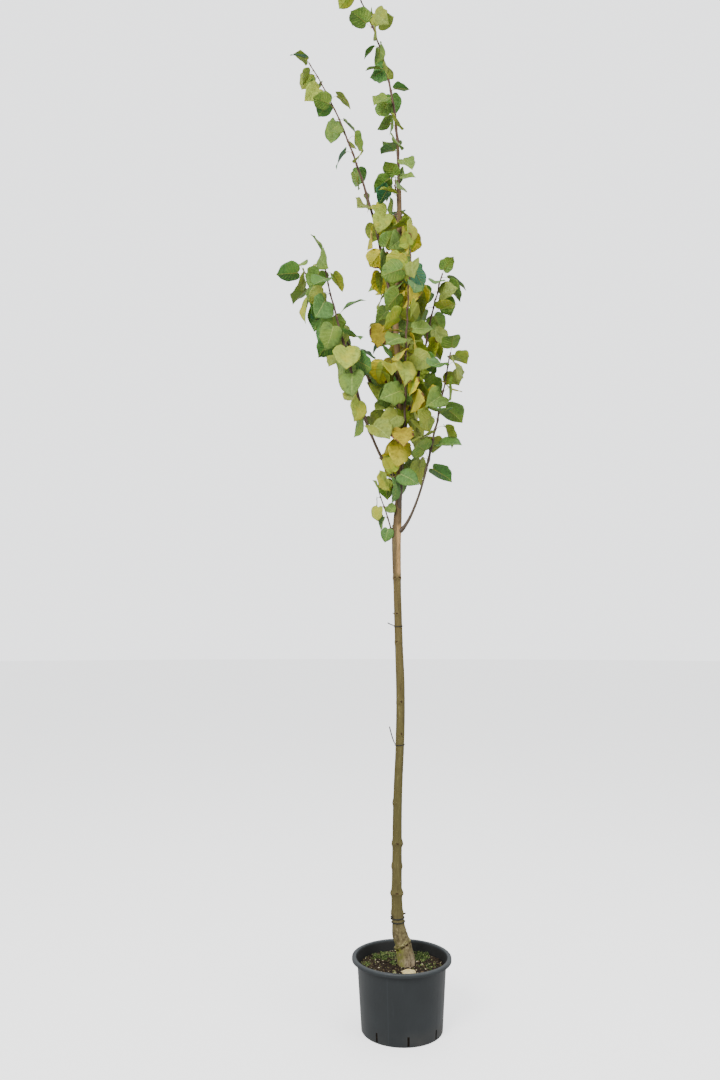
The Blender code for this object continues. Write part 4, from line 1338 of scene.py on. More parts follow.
# Broken twig ends: height, azimuth, length, radius
STUBS = (
    (0.461, 8.0, 0.011, 0.0034),
    (0.688, 100.0, 0.006, 0.0016),
    (1.743, 190.0, 0.007, 0.0022),
    (2.696, 5.0, 0.020, 0.0026),
    (2.992, 184.0, 0.022, 0.0026),
    (3.298, 40.0, 0.012, 0.0022),
    (3.508, -60.0, 0.012, 0.0022),
)
STUB_WIDTHS = (2.0, 1.3, 1.05, 1.0, 0.75)  # from the trunk to the broken end
STUB_SIDES = 9
STUB_SUNK = 0.7  # share of the trunk's radius at which a stub starts


def build_trunk(finishes):
    low = TRUNK_STATIONS[0][0]
    rings = round((CROWN_TOP - low) / TRUNK_FINE_STEP)
    corners = []
    wear = [BARK_WEAR["bark"]] * 2  # the two ends
    for ring in range(rings + 1):
        height = blend(low, CROWN_TOP, ring / rings)
        centre, radius = trunk_at(height)
        for side in range(TRUNK_FINE_SIDES):
            azimuth = 360.0 * side / TRUNK_FINE_SIDES
            reach = radius + scar_at(height, azimuth) + bark_relief(height, azimuth)
            corner = centre + bearing(azimuth) * reach
            cut = CROWN_TOP - CUT_SLANT * (0.5 + 0.5 * math.cos(math.radians(azimuth)))
            corner.z = min(corner.z, cut)
            corners.append(corner)
            if ring < rings:
                wear.append(bark_wear(height, azimuth))
    skin = Skin()
    skin.join(corners, tube_faces(rings, TRUNK_FINE_SIDES), wear)
    for height, azimuth, length, radius in STUBS:
        centre, reach = trunk_at(height)
        foot = centre + bearing(azimuth) * (reach * STUB_SUNK)
        end = centre + bearing(azimuth) * (reach + length) + Vector((0.0, 0.0, length * 0.5))
        steps = len(STUB_WIDTHS) - 1
        line = [foot.lerp(end, step / steps) for step in range(steps + 1)]
        radii = [radius * width for width in STUB_WIDTHS]
        tube(skin, line, radii, STUB_SIDES, BARK_WEAR["scar"])
    piece = make_piece("trunk_skin", skin, finishes, ["trunk"])
    piece.data.set_sharp_from_angle(angle=math.radians(TRUNK_SHARP))
    return piece


trunk = build_trunk(BARK)
print("trunk faces:", len(trunk.data.polygons))

# %% [markdown]
# ## Boughs and twigs
#
# A bough leaves the trunk through a thick collar, and the leafy stem goes on from its end. Each
# stem is a round tube along its zigzag, with a swelling under every leaf, a plump bud above it
# and a long stalk that bends over to the blade. The stalk goes on under the blade as its midrib.

# %% Limbs
BOUGH_SIDES = 16
BOUGH_STEPS = 8  # rings to each stretch of a bough
BOUGH_ROUGH = 0.05
STEM_FULL = 1.12  # a round limb is as thick as the solid's is at its corners
STEM_STOUT = 1.50  # the leafy stems are fuller still
STOUT_FROM = 0.2  # share of a stem over which it fills out
TWIG_SIDES = 10
TWIG_STEPS = 6
COLLAR_SHARE = 0.9  # how much thicker a bough is where it leaves the trunk
COLLAR_LENGTH = 0.022
NODE_SWELL = 0.35
NODE_LENGTH = 0.007
BUD_LENGTH = 0.0065
BUD_RADIUS = 0.0021
BUD_SIDES = 8
BUD_SHARES = (0.0, 0.12, 0.35, 0.62, 0.85, 1.0)
BUD_WIDTHS = (0.55, 0.85, 1.0, 0.85, 0.48, 0.08)
BUD_SIZES = (0.8, 1.15)
STALK_SIDES = 7
STALK_STEPS = 9
STALK_END = 0.0015  # a stalk's radius at both ends, and how much thinner its middle is
STALK_WAIST = 0.0006
MIDRIB_SHARES = (0.02, 0.2, 0.4, 0.6, 0.8)
MIDRIB_RADII = (0.0010, 0.0009, 0.0007, 0.0005, 0.0003)
MIDRIB_DROP = 0.010  # under the blade, in blade lengths
SHOOT_WEAR = {"stem": 0, "stalk": 1, "bud": 2}


def collar(point):
    """Extra thickness near the trunk's face."""
    foot, radius = trunk_at(point[2])
    away = max(math.hypot(point[0] - foot.x, point[1] - foot.y) - radius, 0.0)
    return 1.0 + COLLAR_SHARE * math.exp(-away / COLLAR_LENGTH)


def build_bough(growth):
    """The bare part of a bough, which has its own node."""
    rows = [(*point, radius) for point, radius in zip(growth.bough, growth.bough_radii)]
    line = smooth_line(rows, BOUGH_STEPS)
    radii = []
    for row in line:
        rough = 1.0 + BOUGH_ROUGH * noise.noise(Vector(row[:3]) * 90.0)
        radii.append(row[3] * STEM_FULL * collar(row) * rough)
    skin = Skin()
    tube(skin, line[:, :3], radii, BOUGH_SIDES, 0)
    name = f"bough_{growth.shoot.name}"
    return make_piece(name + "_skin", skin, [YOUNG_BARK], [name])


def stem_lines(growth):
    """The stem as a smooth line with its radius, swollen at each leaf."""
    rows = [(*point, radius) for point, radius in zip(growth.stem, growth.stem_radii)]
    line = smooth_line(rows, TWIG_STEPS)
    nodes = np.array([tuple(leaf.stalk[0]) for leaf in growth.leaves]).reshape(-1, 3)
    radii = []
    for place, row in enumerate(line):
        near = np.linalg.norm(nodes - row[:3], axis=1).min() if len(nodes) else 1.0
        full = blend(STEM_FULL, STEM_STOUT, min(place / (STOUT_FROM * len(line)), 1.0))
        radii.append(row[3] * full * (1.0 + NODE_SWELL * math.exp(-(near / NODE_LENGTH) ** 2)))
    return line[:, :3], radii


def build_bud(skin, foot, way, outward, size):
    """A plump bud that leans against the stem."""
    lean = (way * 0.9 + outward * 0.45).normalized()
    line = [foot + lean * BUD_LENGTH * size * share for share in BUD_SHARES]
    radii = [BUD_RADIUS * size * width for width in BUD_WIDTHS]
    tube(skin, line, radii, BUD_SIDES, SHOOT_WEAR["bud"])


def bent_stalk(leaf, steps):
    """The stalk as one bend from inside the stem to the blade."""
    foot, elbow, joint = leaf.stalk
    middle = elbow * 1.5 - (foot + joint) * 0.25
    return [foot * (1 - share) ** 2 + middle * 2 * share * (1 - share) + joint * share ** 2
            for share in (step / steps for step in range(steps + 1))]


def build_stalk(skin, leaf):
    """The stalk, thicker at both ends, and the midrib that it goes on as."""
    line = bent_stalk(leaf, STALK_STEPS)[:-1]
    radii = [STALK_END - STALK_WAIST * math.sin(math.pi * step / STALK_STEPS)
             for step in range(STALK_STEPS)]
    _, curl = LEAF_CUPS[leaf.cup]
    for x in MIDRIB_SHARES:
        drop = -curl * max(x - CURL_FROM, 0.0) ** 2 - MIDRIB_DROP
        line.append(leaf.place @ Vector((x, 0.0, drop)))
    tube(skin, line, radii + list(MIDRIB_RADII), STALK_SIDES, SHOOT_WEAR["stalk"])


print("rings of a stalk with its midrib:", STALK_STEPS + len(MIDRIB_SHARES))

# %% [markdown]
# ## The rays of a leaf blade
#
# The blade is a sheet of rays that run from the midrib to the edge. Some rays are veins: they
# come in close pairs, so that the strip between them can have the vein's finish. The rays between
# them end a little out or in by turns, which makes the teeth.

# %% Leaf rays
LEAF_EDGE = ((0.0, 0.0), (-0.075, 0.080), (-0.115, 0.205), (-0.045, 0.370), (0.130, 0.475),
             (0.330, 0.500), (0.540, 0.455), (0.740, 0.325), (0.875, 0.150), (0.940, 0.055), (1.0, 0.0))
# Where each side vein ends on the edge and starts on the midrib, as shares of their lengths
LEAF_VEINS = ((0.13, 0.006), (0.26, 0.018), (0.39, 0.034), (0.50, 0.15), (0.60, 0.28), (0.69, 0.41),
              (0.78, 0.54), (0.86, 0.68), (0.93, 0.81))
VEIN_EDGE = 0.0022
VEIN_FOOT = 0.0060
VEIN_TOOTH = 0.010
TEETH = (-0.008, 0.012, -0.008)  # the rays between two veins, in and out
FIRST_RAY = (0.02, 0.0)  # end on the edge and start on the midrib, as for the veins
LAST_RAY = (1.0, 0.955)
EDGE_STEPS = 12  # fine steps to each stretch of the edge
RAY_SHARES = (0.0, 0.0, 0.45, 0.82, 1.0)  # corners of a ray; the first is on the midrib
RAY_STEPS = len(RAY_SHARES) - 1


def leaf_rays():
    """Every ray's end on the edge, start on the midrib and tooth, and whether a vein follows it."""
    knots = (FIRST_RAY, *LEAF_VEINS, LAST_RAY)
    rays = [(*FIRST_RAY, 0.0, False)]
    for (low, low_foot), (high, high_foot) in zip(knots[:-1], knots[1:]):
        for step, tooth in enumerate(TEETH):
            share = (step + 1) / (len(TEETH) + 1)
            rays.append((blend(low, high, share), blend(low_foot, high_foot, share), tooth, False))
        if high < 1.0:
            foot = VEIN_FOOT * 0.5
            rays.append((high - VEIN_EDGE, high_foot - foot, VEIN_TOOTH, True))
            rays.append((high + VEIN_EDGE, high_foot + foot, VEIN_TOOTH, False))
    rays.append((*LAST_RAY, 0.0, False))
    return rays


def edge_points(shares):
    """Points at shares of the length of the blade's edge, from notch to tip."""
    line = smooth_line(LEAF_EDGE, EDGE_STEPS)
    strides = np.linalg.norm(np.diff(line, axis=0), axis=1)
    lengths = np.concatenate(([0.0], np.cumsum(strides)))
    wanted = np.array(shares) * lengths[-1]
    return np.stack([np.interp(wanted, lengths, line[:, axis]) for axis in (0, 1)], axis=1)


RAYS = leaf_rays()
COLUMNS = tuple(range(-RAY_STEPS, RAY_STEPS + 1))
RAY_EDGES = edge_points([ray[0] for ray in RAYS])


def blade_faces():
    """Corner numbers of the blade's faces, with each one's row and outer column."""
    wide = len(COLUMNS)
    faces = []
    cells = []
    for row in range(len(RAYS) - 1):
        for step in range(wide - 1):
            first = row * wide + step
            faces.append((first, first + 1, first + wide + 1, first + wide))
            cells.append((row, max(COLUMNS[step], COLUMNS[step + 1], key=abs)))
    return faces, cells


BLADE_FACES, BLADE_CELLS = blade_faces()
print("rays:", len(RAYS), "faces on one side of a blade:", len(BLADE_FACES))

# %% [markdown]
# ## The shape of a blade
#
# Each leaf gets its own fold, curl, waves and lopsided base. Solidify later gives it a thickness
# and a separate underside.

# %% Leaf blades
MIDRIB_WIDTH = 0.013
SHORT_RAY = 0.02  # no ray counts as shorter than this
VEIN_ARCH = 0.055
QUILT = 0.014  # how far the blade swells between its veins
FOLD_SOFTNESS = 0.03
BLADE_MIDDLE = 0.40  # the waves at the edge grow from here outward
BLADE_HALVES = (0.62, 0.50)  # half the blade's length and width
WAVE_GROWTH = 2.5
WAVE_CENTRE = 0.35
TIP_FROM = 0.75  # the tip bends down beyond this


def blade_height(x, y, leaf, shape):
    """How far a point of the blade is above its flat outline."""
    fold, curl = LEAF_CUPS[leaf.cup]
    ridge = math.sqrt(y * y + FOLD_SOFTNESS ** 2) - FOLD_SOFTNESS
    half_length, half_width = BLADE_HALVES
    edge = min(math.hypot((x - BLADE_MIDDLE) / half_length, y / half_width), 1.2)
    around = shape["turns"] * math.atan2(y, x - WAVE_CENTRE) + shape["phase"]
    wave = shape["wave"] * edge ** WAVE_GROWTH * math.sin(around)
    tip = shape["tip"] * max(x - TIP_FROM, 0.0)
    return fold * ridge - curl * max(x - CURL_FROM, 0.0) ** 2 + wave + shape["twist"] * x * y - tip


def blade_corners(leaf, shape):
    """The blade's corners in its own frame, row by row from one side's edge to the other's."""
    corners = []
    for (edge_x, edge_y), (_, foot, tooth, vein) in zip(RAY_EDGES, RAYS):
        for column in COLUMNS:
            side = 1.0 if column >= 0 else -1.0
            lopsided = 1.0 + side * shape["lopsided"]
            way = Vector((edge_x - foot, edge_y * lopsided))
            length = max(way.length, SHORT_RAY)
            inner = min(MIDRIB_WIDTH / length, 0.33)
            step = abs(column)
            share = 0.0 if step == 0 else blend(inner, 1.0, RAY_SHARES[step])
            at_edge = Vector((edge_x * 4.0, edge_y * side * 4.0, shape["phase"]))
            ragged = shape["ragged"] * noise.noise(at_edge)
            reach = share * (1.0 + tooth / length * (step == RAY_STEPS) + ragged * share)
            x = foot + way.x * reach - VEIN_ARCH * share * (1.0 - share) * min(length * 2.0, 1.0)
            y = side * way.y * reach
            quilt = QUILT * math.sin(math.pi * share) * (abs(tooth) > 0.0 and not vein)
            corners.append((x, y, blade_height(x, y, leaf, shape) + quilt))
    return corners


def leaf_shape(dice):
    """What makes one blade differ from the next, in blade lengths and radians."""
    return {
        "wave": dice.uniform(0.018, 0.055),
        "turns": dice.choice((3.0, 4.0, 5.0)),
        "phase": dice.uniform(0.0, 2.0 * math.pi),
        "twist": dice.uniform(-0.22, 0.22),
        "tip": dice.uniform(-0.05, 0.30),
        "lopsided": dice.uniform(-0.08, 0.08),
        "ragged": dice.uniform(0.06, 0.22),
    }


print("what varies from blade to blade:", ", ".join(leaf_shape(random.Random(0))))

# %% [markdown]
# ## Dealing out the tints
#
# Leaves that are old and shaded turn first. So the chance of a yellow or amber leaf grows towards
# the trunk in the middle of the crown and low on the boughs, and the outer leaves stay green. A
# turning leaf may have a yellow rim round a green middle, and dried brown runs at edge and tip.

# %% Tints for each leaf
AUTUMN_LOW = 2.40  # heights between which leaves near the trunk turn
AUTUMN_HIGH = 3.66
AUTUMN_REACH = 0.17  # how far from the trunk they do
AUTUMN_CHANCE = 0.62
# The blue green tint that some outer leaves get is painted shade
OUTER_DEAL = (("olive", 0.22), ("green", 0.42), ("cool", 0.20), ("teal", 0.08), ("lime", 0.08))
INNER_DEAL = (("olive", 0.42), ("green", 0.24), ("lime", 0.34))
AUTUMN_DEAL = (("lime", 0.46), ("yellow", 0.36), ("amber", 0.06), ("olive", 0.12))
YELLOW_RIM_CHANCE = 0.6
GREENS = ("olive", "green", "cool", "teal")
# How many dried stretches of edge a turned leaf may have, each as likely as the next
BROWN_RUNS = {"yellow": (0, 1, 1, 2), "amber": (2, 3), "lime": (0, 0, 1)}
RUN_LENGTHS = (5, 16)  # in rays
RUN_FIRST = 8  # the first ray where one may start
RUN_LAST = 6  # and how far before the tip the last one
TIP_LENGTHS = (5, 12)


def deal(dice, shares):
    """One name, drawn by the shares that the names have."""
    draw = dice.random() * sum(share for _, share in shares)
    for name, share in shares:
        draw -= share
        if draw <= 0.0:
            return name
    return shares[-1][0]


def autumn_at(place):
    """From 0, where all leaves are green, to 1, where most have turned."""
    if not AUTUMN_LOW < place.z < AUTUMN_HIGH:
        return 0.0
    centre, _ = trunk_at(min(place.z, CROWN_TOP))
    away = math.hypot(place.x - centre.x, place.y - centre.y)
    return math.exp(-(away / AUTUMN_REACH) ** 2)


def brown_runs(middle, dice):
    """Stretches of the edge that have dried: side, first row and last row."""
    wanted = {tint: dice.choice(counts) for tint, counts in BROWN_RUNS.items()}.get(middle, 0)
    runs = []
    for _ in range(wanted):
        length = dice.randrange(*RUN_LENGTHS)
        first = dice.randrange(RUN_FIRST, len(RAYS) - RUN_LAST)
        runs.append((dice.choice((-1, 1)), first, first + length))
    if wanted:
        tip = len(RAYS) - dice.randrange(*TIP_LENGTHS)
        runs += [(-1, tip, len(RAYS)), (1, tip, len(RAYS))]
    return runs


def leaf_wear(leaf, dice):
    """The finish number of each face of a blade."""
    inside = autumn_at(leaf.place @ Vector((0.5, 0.0, 0.0)))
    turned = dice.random() < AUTUMN_CHANCE * inside
    green = INNER_DEAL if dice.random() < inside else OUTER_DEAL
    middle = deal(dice, AUTUMN_DEAL if turned else green)
    rim = middle
    if middle in ("lime", "olive") and turned and dice.random() < YELLOW_RIM_CHANCE:
        rim = "yellow"
    runs = brown_runs(middle, dice)
    wear = []
    for row, column in BLADE_CELLS:
        side = 1 if column > 0 else -1
        tint = rim if abs(column) >= RAY_STEPS - 1 else middle
        dried = any(side == way and first <= row < last for way, first, last in runs)
        if abs(column) == RAY_STEPS and dried:
            tint = "edge"
        if abs(column) == 1 or (RAYS[row][3] and abs(column) < RAY_STEPS):
            tint = "vein" if middle in GREENS else middle
        wear.append(SLOT_OF[tint])
    return wear


beside_trunk = autumn_at(trunk_at(3.0)[0])
print("chance that a leaf by the trunk has turned:", AUTUMN_CHANCE * beside_trunk)

# %% [markdown]
# ## Dressing each shoot
#
# Each mass of the model is replaced by two pieces: the twigs with their stalks and buds, and the
# leaves. The dice of a leaf come from its shoot and number, so nothing changes between runs.

# %% Foliage
LEAF_THICK = 0.0004
BUD_SUNK = 0.7  # share of the stem's radius at which a bud starts
BUD_RISE = 0.003  # and how far above the leaf's foot
BUD_ROOM = 0.002  # no bud where the stalk leans away by less than this


def build_twigs(growth, name):
    """The stem of one mass, with a stalk for each leaf and a bud above it."""
    skin = Skin()
    points, radii = stem_lines(growth)
    tube(skin, points, radii, TWIG_SIDES, SHOOT_WEAR["stem"])
    for number, leaf in enumerate(growth.leaves):
        build_stalk(skin, leaf)
        dice = random.Random(f"{name} stalk {number}")
        foot, elbow = leaf.stalk[:2]
        index = int(np.linalg.norm(points - np.array(foot), axis=1).argmin())
        way = points[min(index + 1, len(points) - 1)] - points[max(index - 1, 0)]
        way = Vector(way).normalized()
        side = (elbow - foot) - way * (elbow - foot).dot(way)
        if side.length > BUD_ROOM:
            side.normalize()
            start = foot + side * radii[index] * BUD_SUNK + way * BUD_RISE
            build_bud(skin, start, way, side, dice.uniform(*BUD_SIZES))
    finishes = [YOUNG_BARK, STALK, BUD]
    return make_piece("twigs_" + name, skin, finishes, ["foliage_" + name])


def build_leaves(growth, name):
    """All blades of one mass, with their undersides."""
    skin = Skin()
    for number, leaf in enumerate(growth.leaves):
        dice = random.Random(f"{name} leaf {number}")
        corners = blade_corners(leaf, leaf_shape(dice))
        corners = [leaf.place @ Vector(corner) for corner in corners]
        skin.join(corners, BLADE_FACES, leaf_wear(leaf, dice))
    piece = make_piece("leaves_" + name, skin, LEAF_FINISHES, ["foliage_" + name])
    modify(piece, "Thickness", "SOLIDIFY", thickness=LEAF_THICK, offset=0.0, material_offset=1)
    apply_modifiers(piece)
    return piece


leaf_faces = 0
for growth in growths:
    name = growth.shoot.name
    if growth.shoot.bough:
        build_bough(growth)
    build_twigs(growth, name)
    leaf_faces += len(build_leaves(growth, name).data.polygons)
print("leaf faces:", leaf_faces)

# %% [markdown]
# ## The pot
#
# The pot is dark grey plastic with a faint sheen. It has fine scuffs, a mould seam and some dust
# near the foot. Its rim has a painted highlight that makes it a little paler, and its inside is duller
# and has painted shade that makes it darker.

# %% Pot finish
FOOT_OF_LIP = POT_HEIGHT - POT_LIP_DROP
SEAM_AZIMUTH = -111.0
SEAM_WIDTH = 1.1  # degrees
DUST_TOP = 0.075
# Height of the painted highlight along the top of the rim
RIM_HIGHLIGHT_BAND = 0.010
MOUTH_BLUR = 0.001  # how softly the inside's mask steps out under the lip
MOUTH_REACH = 0.0015  # and how far it goes into the lip
WALL_BLUR = 0.0004


def inner_shade_mask(finish, height):
    """1 on the inside of the wall, where the plastic is dull and has painted shade, and 0 outside."""
    squares = finish.along("X") * finish.along("X") + finish.along("Y") * finish.along("Y")
    reach = finish.node("ShaderNodeMath", {"operation": "SQRT"}, {0: squares})
    slope = (POT_BODY_RADIUS - POT_FOOT_RADIUS) / FOOT_OF_LIP
    wall = height * slope + (POT_FOOT_RADIUS - POT_WALL / 2)
    mouth = finish.step(height, FOOT_OF_LIP - MOUTH_BLUR, FOOT_OF_LIP + MOUTH_BLUR)
    wall = wall + mouth * (POT_MOUTH_RADIUS + MOUTH_REACH - POT_BODY_RADIUS)
    return finish.step(reach - wall, WALL_BLUR, -WALL_BLUR)


def pot_finish():
    finish = Finish("pot_plastic", 0.42, Specular_IOR_Level=0.32)
    around = finish.node("ShaderNodeMath", {"operation": "ARCTAN2"},
                         {0: finish.along("Y"), 1: finish.along("X")})
    off = finish.node("ShaderNodeMath", {"operation": "ABSOLUTE"},
                      {0: around - math.radians(SEAM_AZIMUTH)})
    seam = finish.step(off, math.radians(SEAM_WIDTH), 0.0)
    scuffs = finish.noise(1.0, 5.0, finish.place(60.0, 60.0, 9.0), 0.65)
    grain = finish.noise(900.0, 2.0)
    cloud = finish.noise(8.0, 3.0)
    height = finish.along("Z")
    dust = finish.step(height, DUST_TOP, 0.0) * finish.step(cloud, 0.35, 0.75)
    # Painted highlight along the top of the rim
    rim = finish.step(height, POT_HEIGHT - RIM_HIGHLIGHT_BAND, POT_HEIGHT)
    inside = inner_shade_mask(finish, height)
    colour = finish.mix(cloud, "212426", "303436")
    colour = finish.mix(finish.step(scuffs, 0.58, 0.80) * 0.22, colour, "474c50")
    colour = finish.mix(seam * 0.15, colour, "4b5054")
    colour = finish.mix(dust * 0.30, colour, "5b554c")
    # Painted shade darkens the inside of the pot
    colour = finish.mix(inside * 0.85, colour, "0e0e0c")
    colour = finish.mix(rim * 0.45, colour, "474c50")
    finish.feed("Base Color", colour)
    finish.feed("Roughness", 0.36 + scuffs * 0.16 + dust * 0.2 + inside * 0.3)
    finish.bump(seam * 0.6 + grain * 0.12 + scuffs * 0.25, 0.0004, 0.7)
    return finish.material


POT_PLASTIC = pot_finish()
print("nodes in the pot's finish:", len(POT_PLASTIC.node_tree.nodes))

# %% [markdown]
# ## The pot's shell
#
# A nursery pot is one thin shell, turned down at its lip, with slots cut through the foot. The
# profile is spun with Screw, and the slots are taken out with a Boolean.

# %% Pot
POT_FINE_SIDES = 144
POT_WELD = 0.0001  # joins the profile's ends where they meet in the middle
POT_SHARP = 32.0  # edges bent by more degrees than this stay sharp
LIP_ROUND = 0.004
LIP_CHAMFER = 0.001
LIP_STEP = 0.0004  # where the body's outside meets the underside of the lip
FLOOR_REACH = 0.004  # the slope between floor and wall inside
FLOOR_RISE = 0.008
SLOT_CUT = 0.030  # depth of the block that cuts a slot


def round_corner(centre, radius, start, end, steps=4):
    """Points on an arc of the profile, angles in degrees."""
    points = []
    for step in range(steps + 1):
        angle = math.radians(blend(start, end, step / steps))
        points.append((centre[0] + radius * math.cos(angle), centre[1] + radius * math.sin(angle)))
    return points


def inner_wall(height):
    """Inside radius of the pot's body at a height."""
    return blend(POT_FOOT_RADIUS, POT_BODY_RADIUS, height / FOOT_OF_LIP) - POT_WALL


def pot_profile():
    """The pot's section, from the middle of the floor up the inside and down the outside."""
    top = POT_HEIGHT - LIP_ROUND
    under = POT_HEIGHT - POT_WALL * 2.0
    inside = round_corner((POT_MOUTH_RADIUS + LIP_ROUND, top), LIP_ROUND, 180.0, 90.0)
    outside = round_corner((POT_LIP_RADIUS - LIP_ROUND, top), LIP_ROUND, 90.0, 0.0)
    foot = round_corner((POT_FOOT_RADIUS - POT_EDGE, POT_EDGE), POT_EDGE, 0.0, -90.0)
    return ([(0.0, POT_WALL), (inner_wall(POT_WALL) - FLOOR_REACH, POT_WALL),
             (inner_wall(FLOOR_RISE), FLOOR_RISE), (inner_wall(FOOT_OF_LIP), FOOT_OF_LIP)]
            + inside + outside
            + [(POT_LIP_RADIUS, FOOT_OF_LIP + LIP_CHAMFER),
               (POT_LIP_RADIUS - LIP_CHAMFER, FOOT_OF_LIP),
               (POT_LIP_RADIUS - POT_WALL, FOOT_OF_LIP), (POT_LIP_RADIUS - POT_WALL, under),
               (POT_MOUTH_RADIUS + POT_WALL, under),
               (POT_BODY_RADIUS + LIP_STEP, FOOT_OF_LIP - POT_EDGE)] + foot + [(0.0, 0.0)])


def build_pot(finish):
    profile = pot_profile()
    mesh = bpy.data.meshes.new("pot_shell")
    mesh.from_pydata([(radius, 0.0, height) for radius, height in profile],
                     [(index, index + 1) for index in range(len(profile) - 1)], [])
    mesh.materials.append(finish)
    pot = put_object("pot_shell", mesh)
    modify(pot, "Turned", "SCREW", steps=POT_FINE_SIDES, render_steps=POT_FINE_SIDES,
           use_merge_vertices=True, merge_threshold=POT_WELD)
    slots = []
    for index in range(SLOT_COUNT):
        azimuth = SLOT_FIRST_AZIMUTH + 360.0 * index / SLOT_COUNT
        bpy.ops.mesh.primitive_cube_add(size=1.0)
        slot = bpy.context.object
        slot.dimensions = (SLOT_CUT, SLOT_WIDTH, SLOT_HIGH - SLOT_LOW)
        middle = Vector((0.0, 0.0, (SLOT_LOW + SLOT_HIGH) / 2))
        slot.location = bearing(azimuth) * POT_FOOT_RADIUS + middle
        slot.rotation_euler.z = math.radians(azimuth)
        modify(pot, f"Slot {index + 1}", "BOOLEAN", operation="DIFFERENCE", solver="EXACT",
               object=slot)
        slots.append(slot)
    apply_modifiers(pot)
    for slot in slots:
        bpy.data.objects.remove(slot)
    pot.data.shade_smooth()
    pot.data.set_sharp_from_angle(angle=math.radians(POT_SHARP))
    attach(pot, "root")
    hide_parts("pot")
    return pot


pot = build_pot(POT_PLASTIC)
print("pot faces:", len(pot.data.polygons))

# %% [markdown]
# ## Soil
#
# Potting soil is dark and loose. The ground is a disc of rings with noise in its height, closed
# below by a plain wall and floor that lie just inside the pot.

# %% Soil
SOIL_RINGS = 56
SOIL_SPOKES = 150
SOIL_ROUGH = 0.0045
SOIL_SETTLED = 0.8  # share of that roughness which is left


def soil_level(x, y):
    """Height of the soil's surface: mounded at the trunk, lower at the wall, crumbly."""
    away = math.hypot(x, y) / inner_wall(SOIL_HEIGHT)
    lumps = noise.noise(Vector((x * 38.0, y * 38.0, 0.3)))
    lumps += 0.5 * noise.noise(Vector((x * 120.0, y * 120.0, 4.0)))
    return SOIL_HEIGHT - SOIL_EDGE_DROP * away ** 2 + SOIL_ROUGH * lumps * SOIL_SETTLED


def soil_finish(name, base, dark, light):
    finish = Finish(name, 0.92, Specular_IOR_Level=0.2)
    lumps = finish.noise(110.0, 5.0, None, 0.65)
    finish.feed("Base Color", finish.ramp(lumps, (0.32, dark), (0.52, base), (0.72, light)))
    finish.bump(lumps, 0.004, 0.9)
    return finish.material


def build_soil(finish):
    """The ground's surface from its middle to the wall, and the body under it."""
    edge = inner_wall(SOIL_HEIGHT - SOIL_EDGE_DROP) - GAP
    corners = [(0.0, 0.0, soil_level(0.0, 0.0))]
    faces = []
    for ring in range(1, SOIL_RINGS + 1):
        for spoke in range(SOIL_SPOKES):
            place = bearing(360.0 * spoke / SOIL_SPOKES) * (edge * ring / SOIL_RINGS)
            corners.append((place.x, place.y, soil_level(place.x, place.y)))
    for spoke in range(SOIL_SPOKES):
        other = (spoke + 1) % SOIL_SPOKES
        faces.append((0, 1 + spoke, 1 + other))
        for ring in range(SOIL_RINGS - 1):
            low = 1 + ring * SOIL_SPOKES
            high = low + SOIL_SPOKES
            faces.append((low + spoke, high + spoke, high + other, low + other))
    floor = len(corners)
    foot = POT_WALL + GAP
    for spoke in range(SOIL_SPOKES):
        place = bearing(360.0 * spoke / SOIL_SPOKES) * (inner_wall(foot) - GAP)
        corners.append((place.x, place.y, foot))
    last = 1 + (SOIL_RINGS - 1) * SOIL_SPOKES
    faces += band(last, floor, SOIL_SPOKES)
    faces.append(tuple(reversed(range(floor, floor + SOIL_SPOKES))))
    skin = Skin()
    skin.join(corners, faces, 0)
    return make_piece("soil_ground", skin, [finish], ["soil"])


soil = build_soil(soil_finish("soil_peat", "231a12", "120d09", "3b2e20"))
print("soil faces:", len(soil.data.polygons))

# %% [markdown]
# ## Crumbs
#
# Peat, bark chips and pale grains lie on the ground as small uneven lumps in several tints. Most
# are tiny and a few are large, because the dice's number is raised to the third power.

# %% Crumbs
CRUMBS = 3400
CRUMB_SEED = 5
CRUMB_TINTS = (("2f261b", 0.30), ("1b1610", 0.26), ("42382a", 0.19), ("5f523c", 0.12),
               ("b9ae92", 0.06), ("6f7448", 0.07))
CRUMB_TONES = tuple(code for code, _ in CRUMB_TINTS)
CRUMB_LEAST = 0.0012
CRUMB_MORE = 0.0038  # the largest are this much larger
CRUMB_STRETCH = (0.8, 2.4)
CRUMB_FLAT = 0.7
WALL_ROOM = 0.006  # kept free along the pot's wall


def chunk(size, dice):
    """An irregular crumb: an octahedron with its corners pushed about."""
    corners = []
    for axis in ((1, 0, 0), (-1, 0, 0), (0, 1, 0), (0, -1, 0), (0, 0, 1), (0, 0, -1)):
        corners.append(Vector(axis) * size * dice.uniform(0.55, 1.2)
                       + Vector([dice.uniform(-0.25, 0.25) * size for _ in range(3)]))
    faces = [(0, 2, 4), (2, 1, 4), (1, 3, 4), (3, 0, 4), (2, 0, 5), (1, 2, 5), (3, 1, 5), (0, 3, 5)]
    return corners, faces


def build_crumbs(finishes):
    """Crumbs all over the ground, each sunk a little into it."""
    dice = random.Random(CRUMB_SEED)
    skin = Skin()
    wall = inner_wall(SOIL_HEIGHT) - WALL_ROOM
    for _ in range(CRUMBS):
        away = wall * math.sqrt(dice.random())
        place = bearing(dice.uniform(0.0, 360.0)) * away
        size = CRUMB_LEAST + CRUMB_MORE * dice.random() ** 3
        corners, faces = chunk(size, dice)
        stretch = Matrix.Diagonal(Vector((dice.uniform(*CRUMB_STRETCH), 1.0, CRUMB_FLAT)))
        turn = Matrix.Rotation(dice.uniform(0.0, 2.0 * math.pi), 3, "Z")
        foot = Vector((place.x, place.y, soil_level(place.x, place.y) + size * 0.25))
        tint = CRUMB_TONES.index(deal(dice, CRUMB_TINTS))
        skin.join([foot + turn @ stretch @ corner for corner in corners], faces, tint)
    return make_piece("soil_crumbs", skin, finishes, smooth=False)


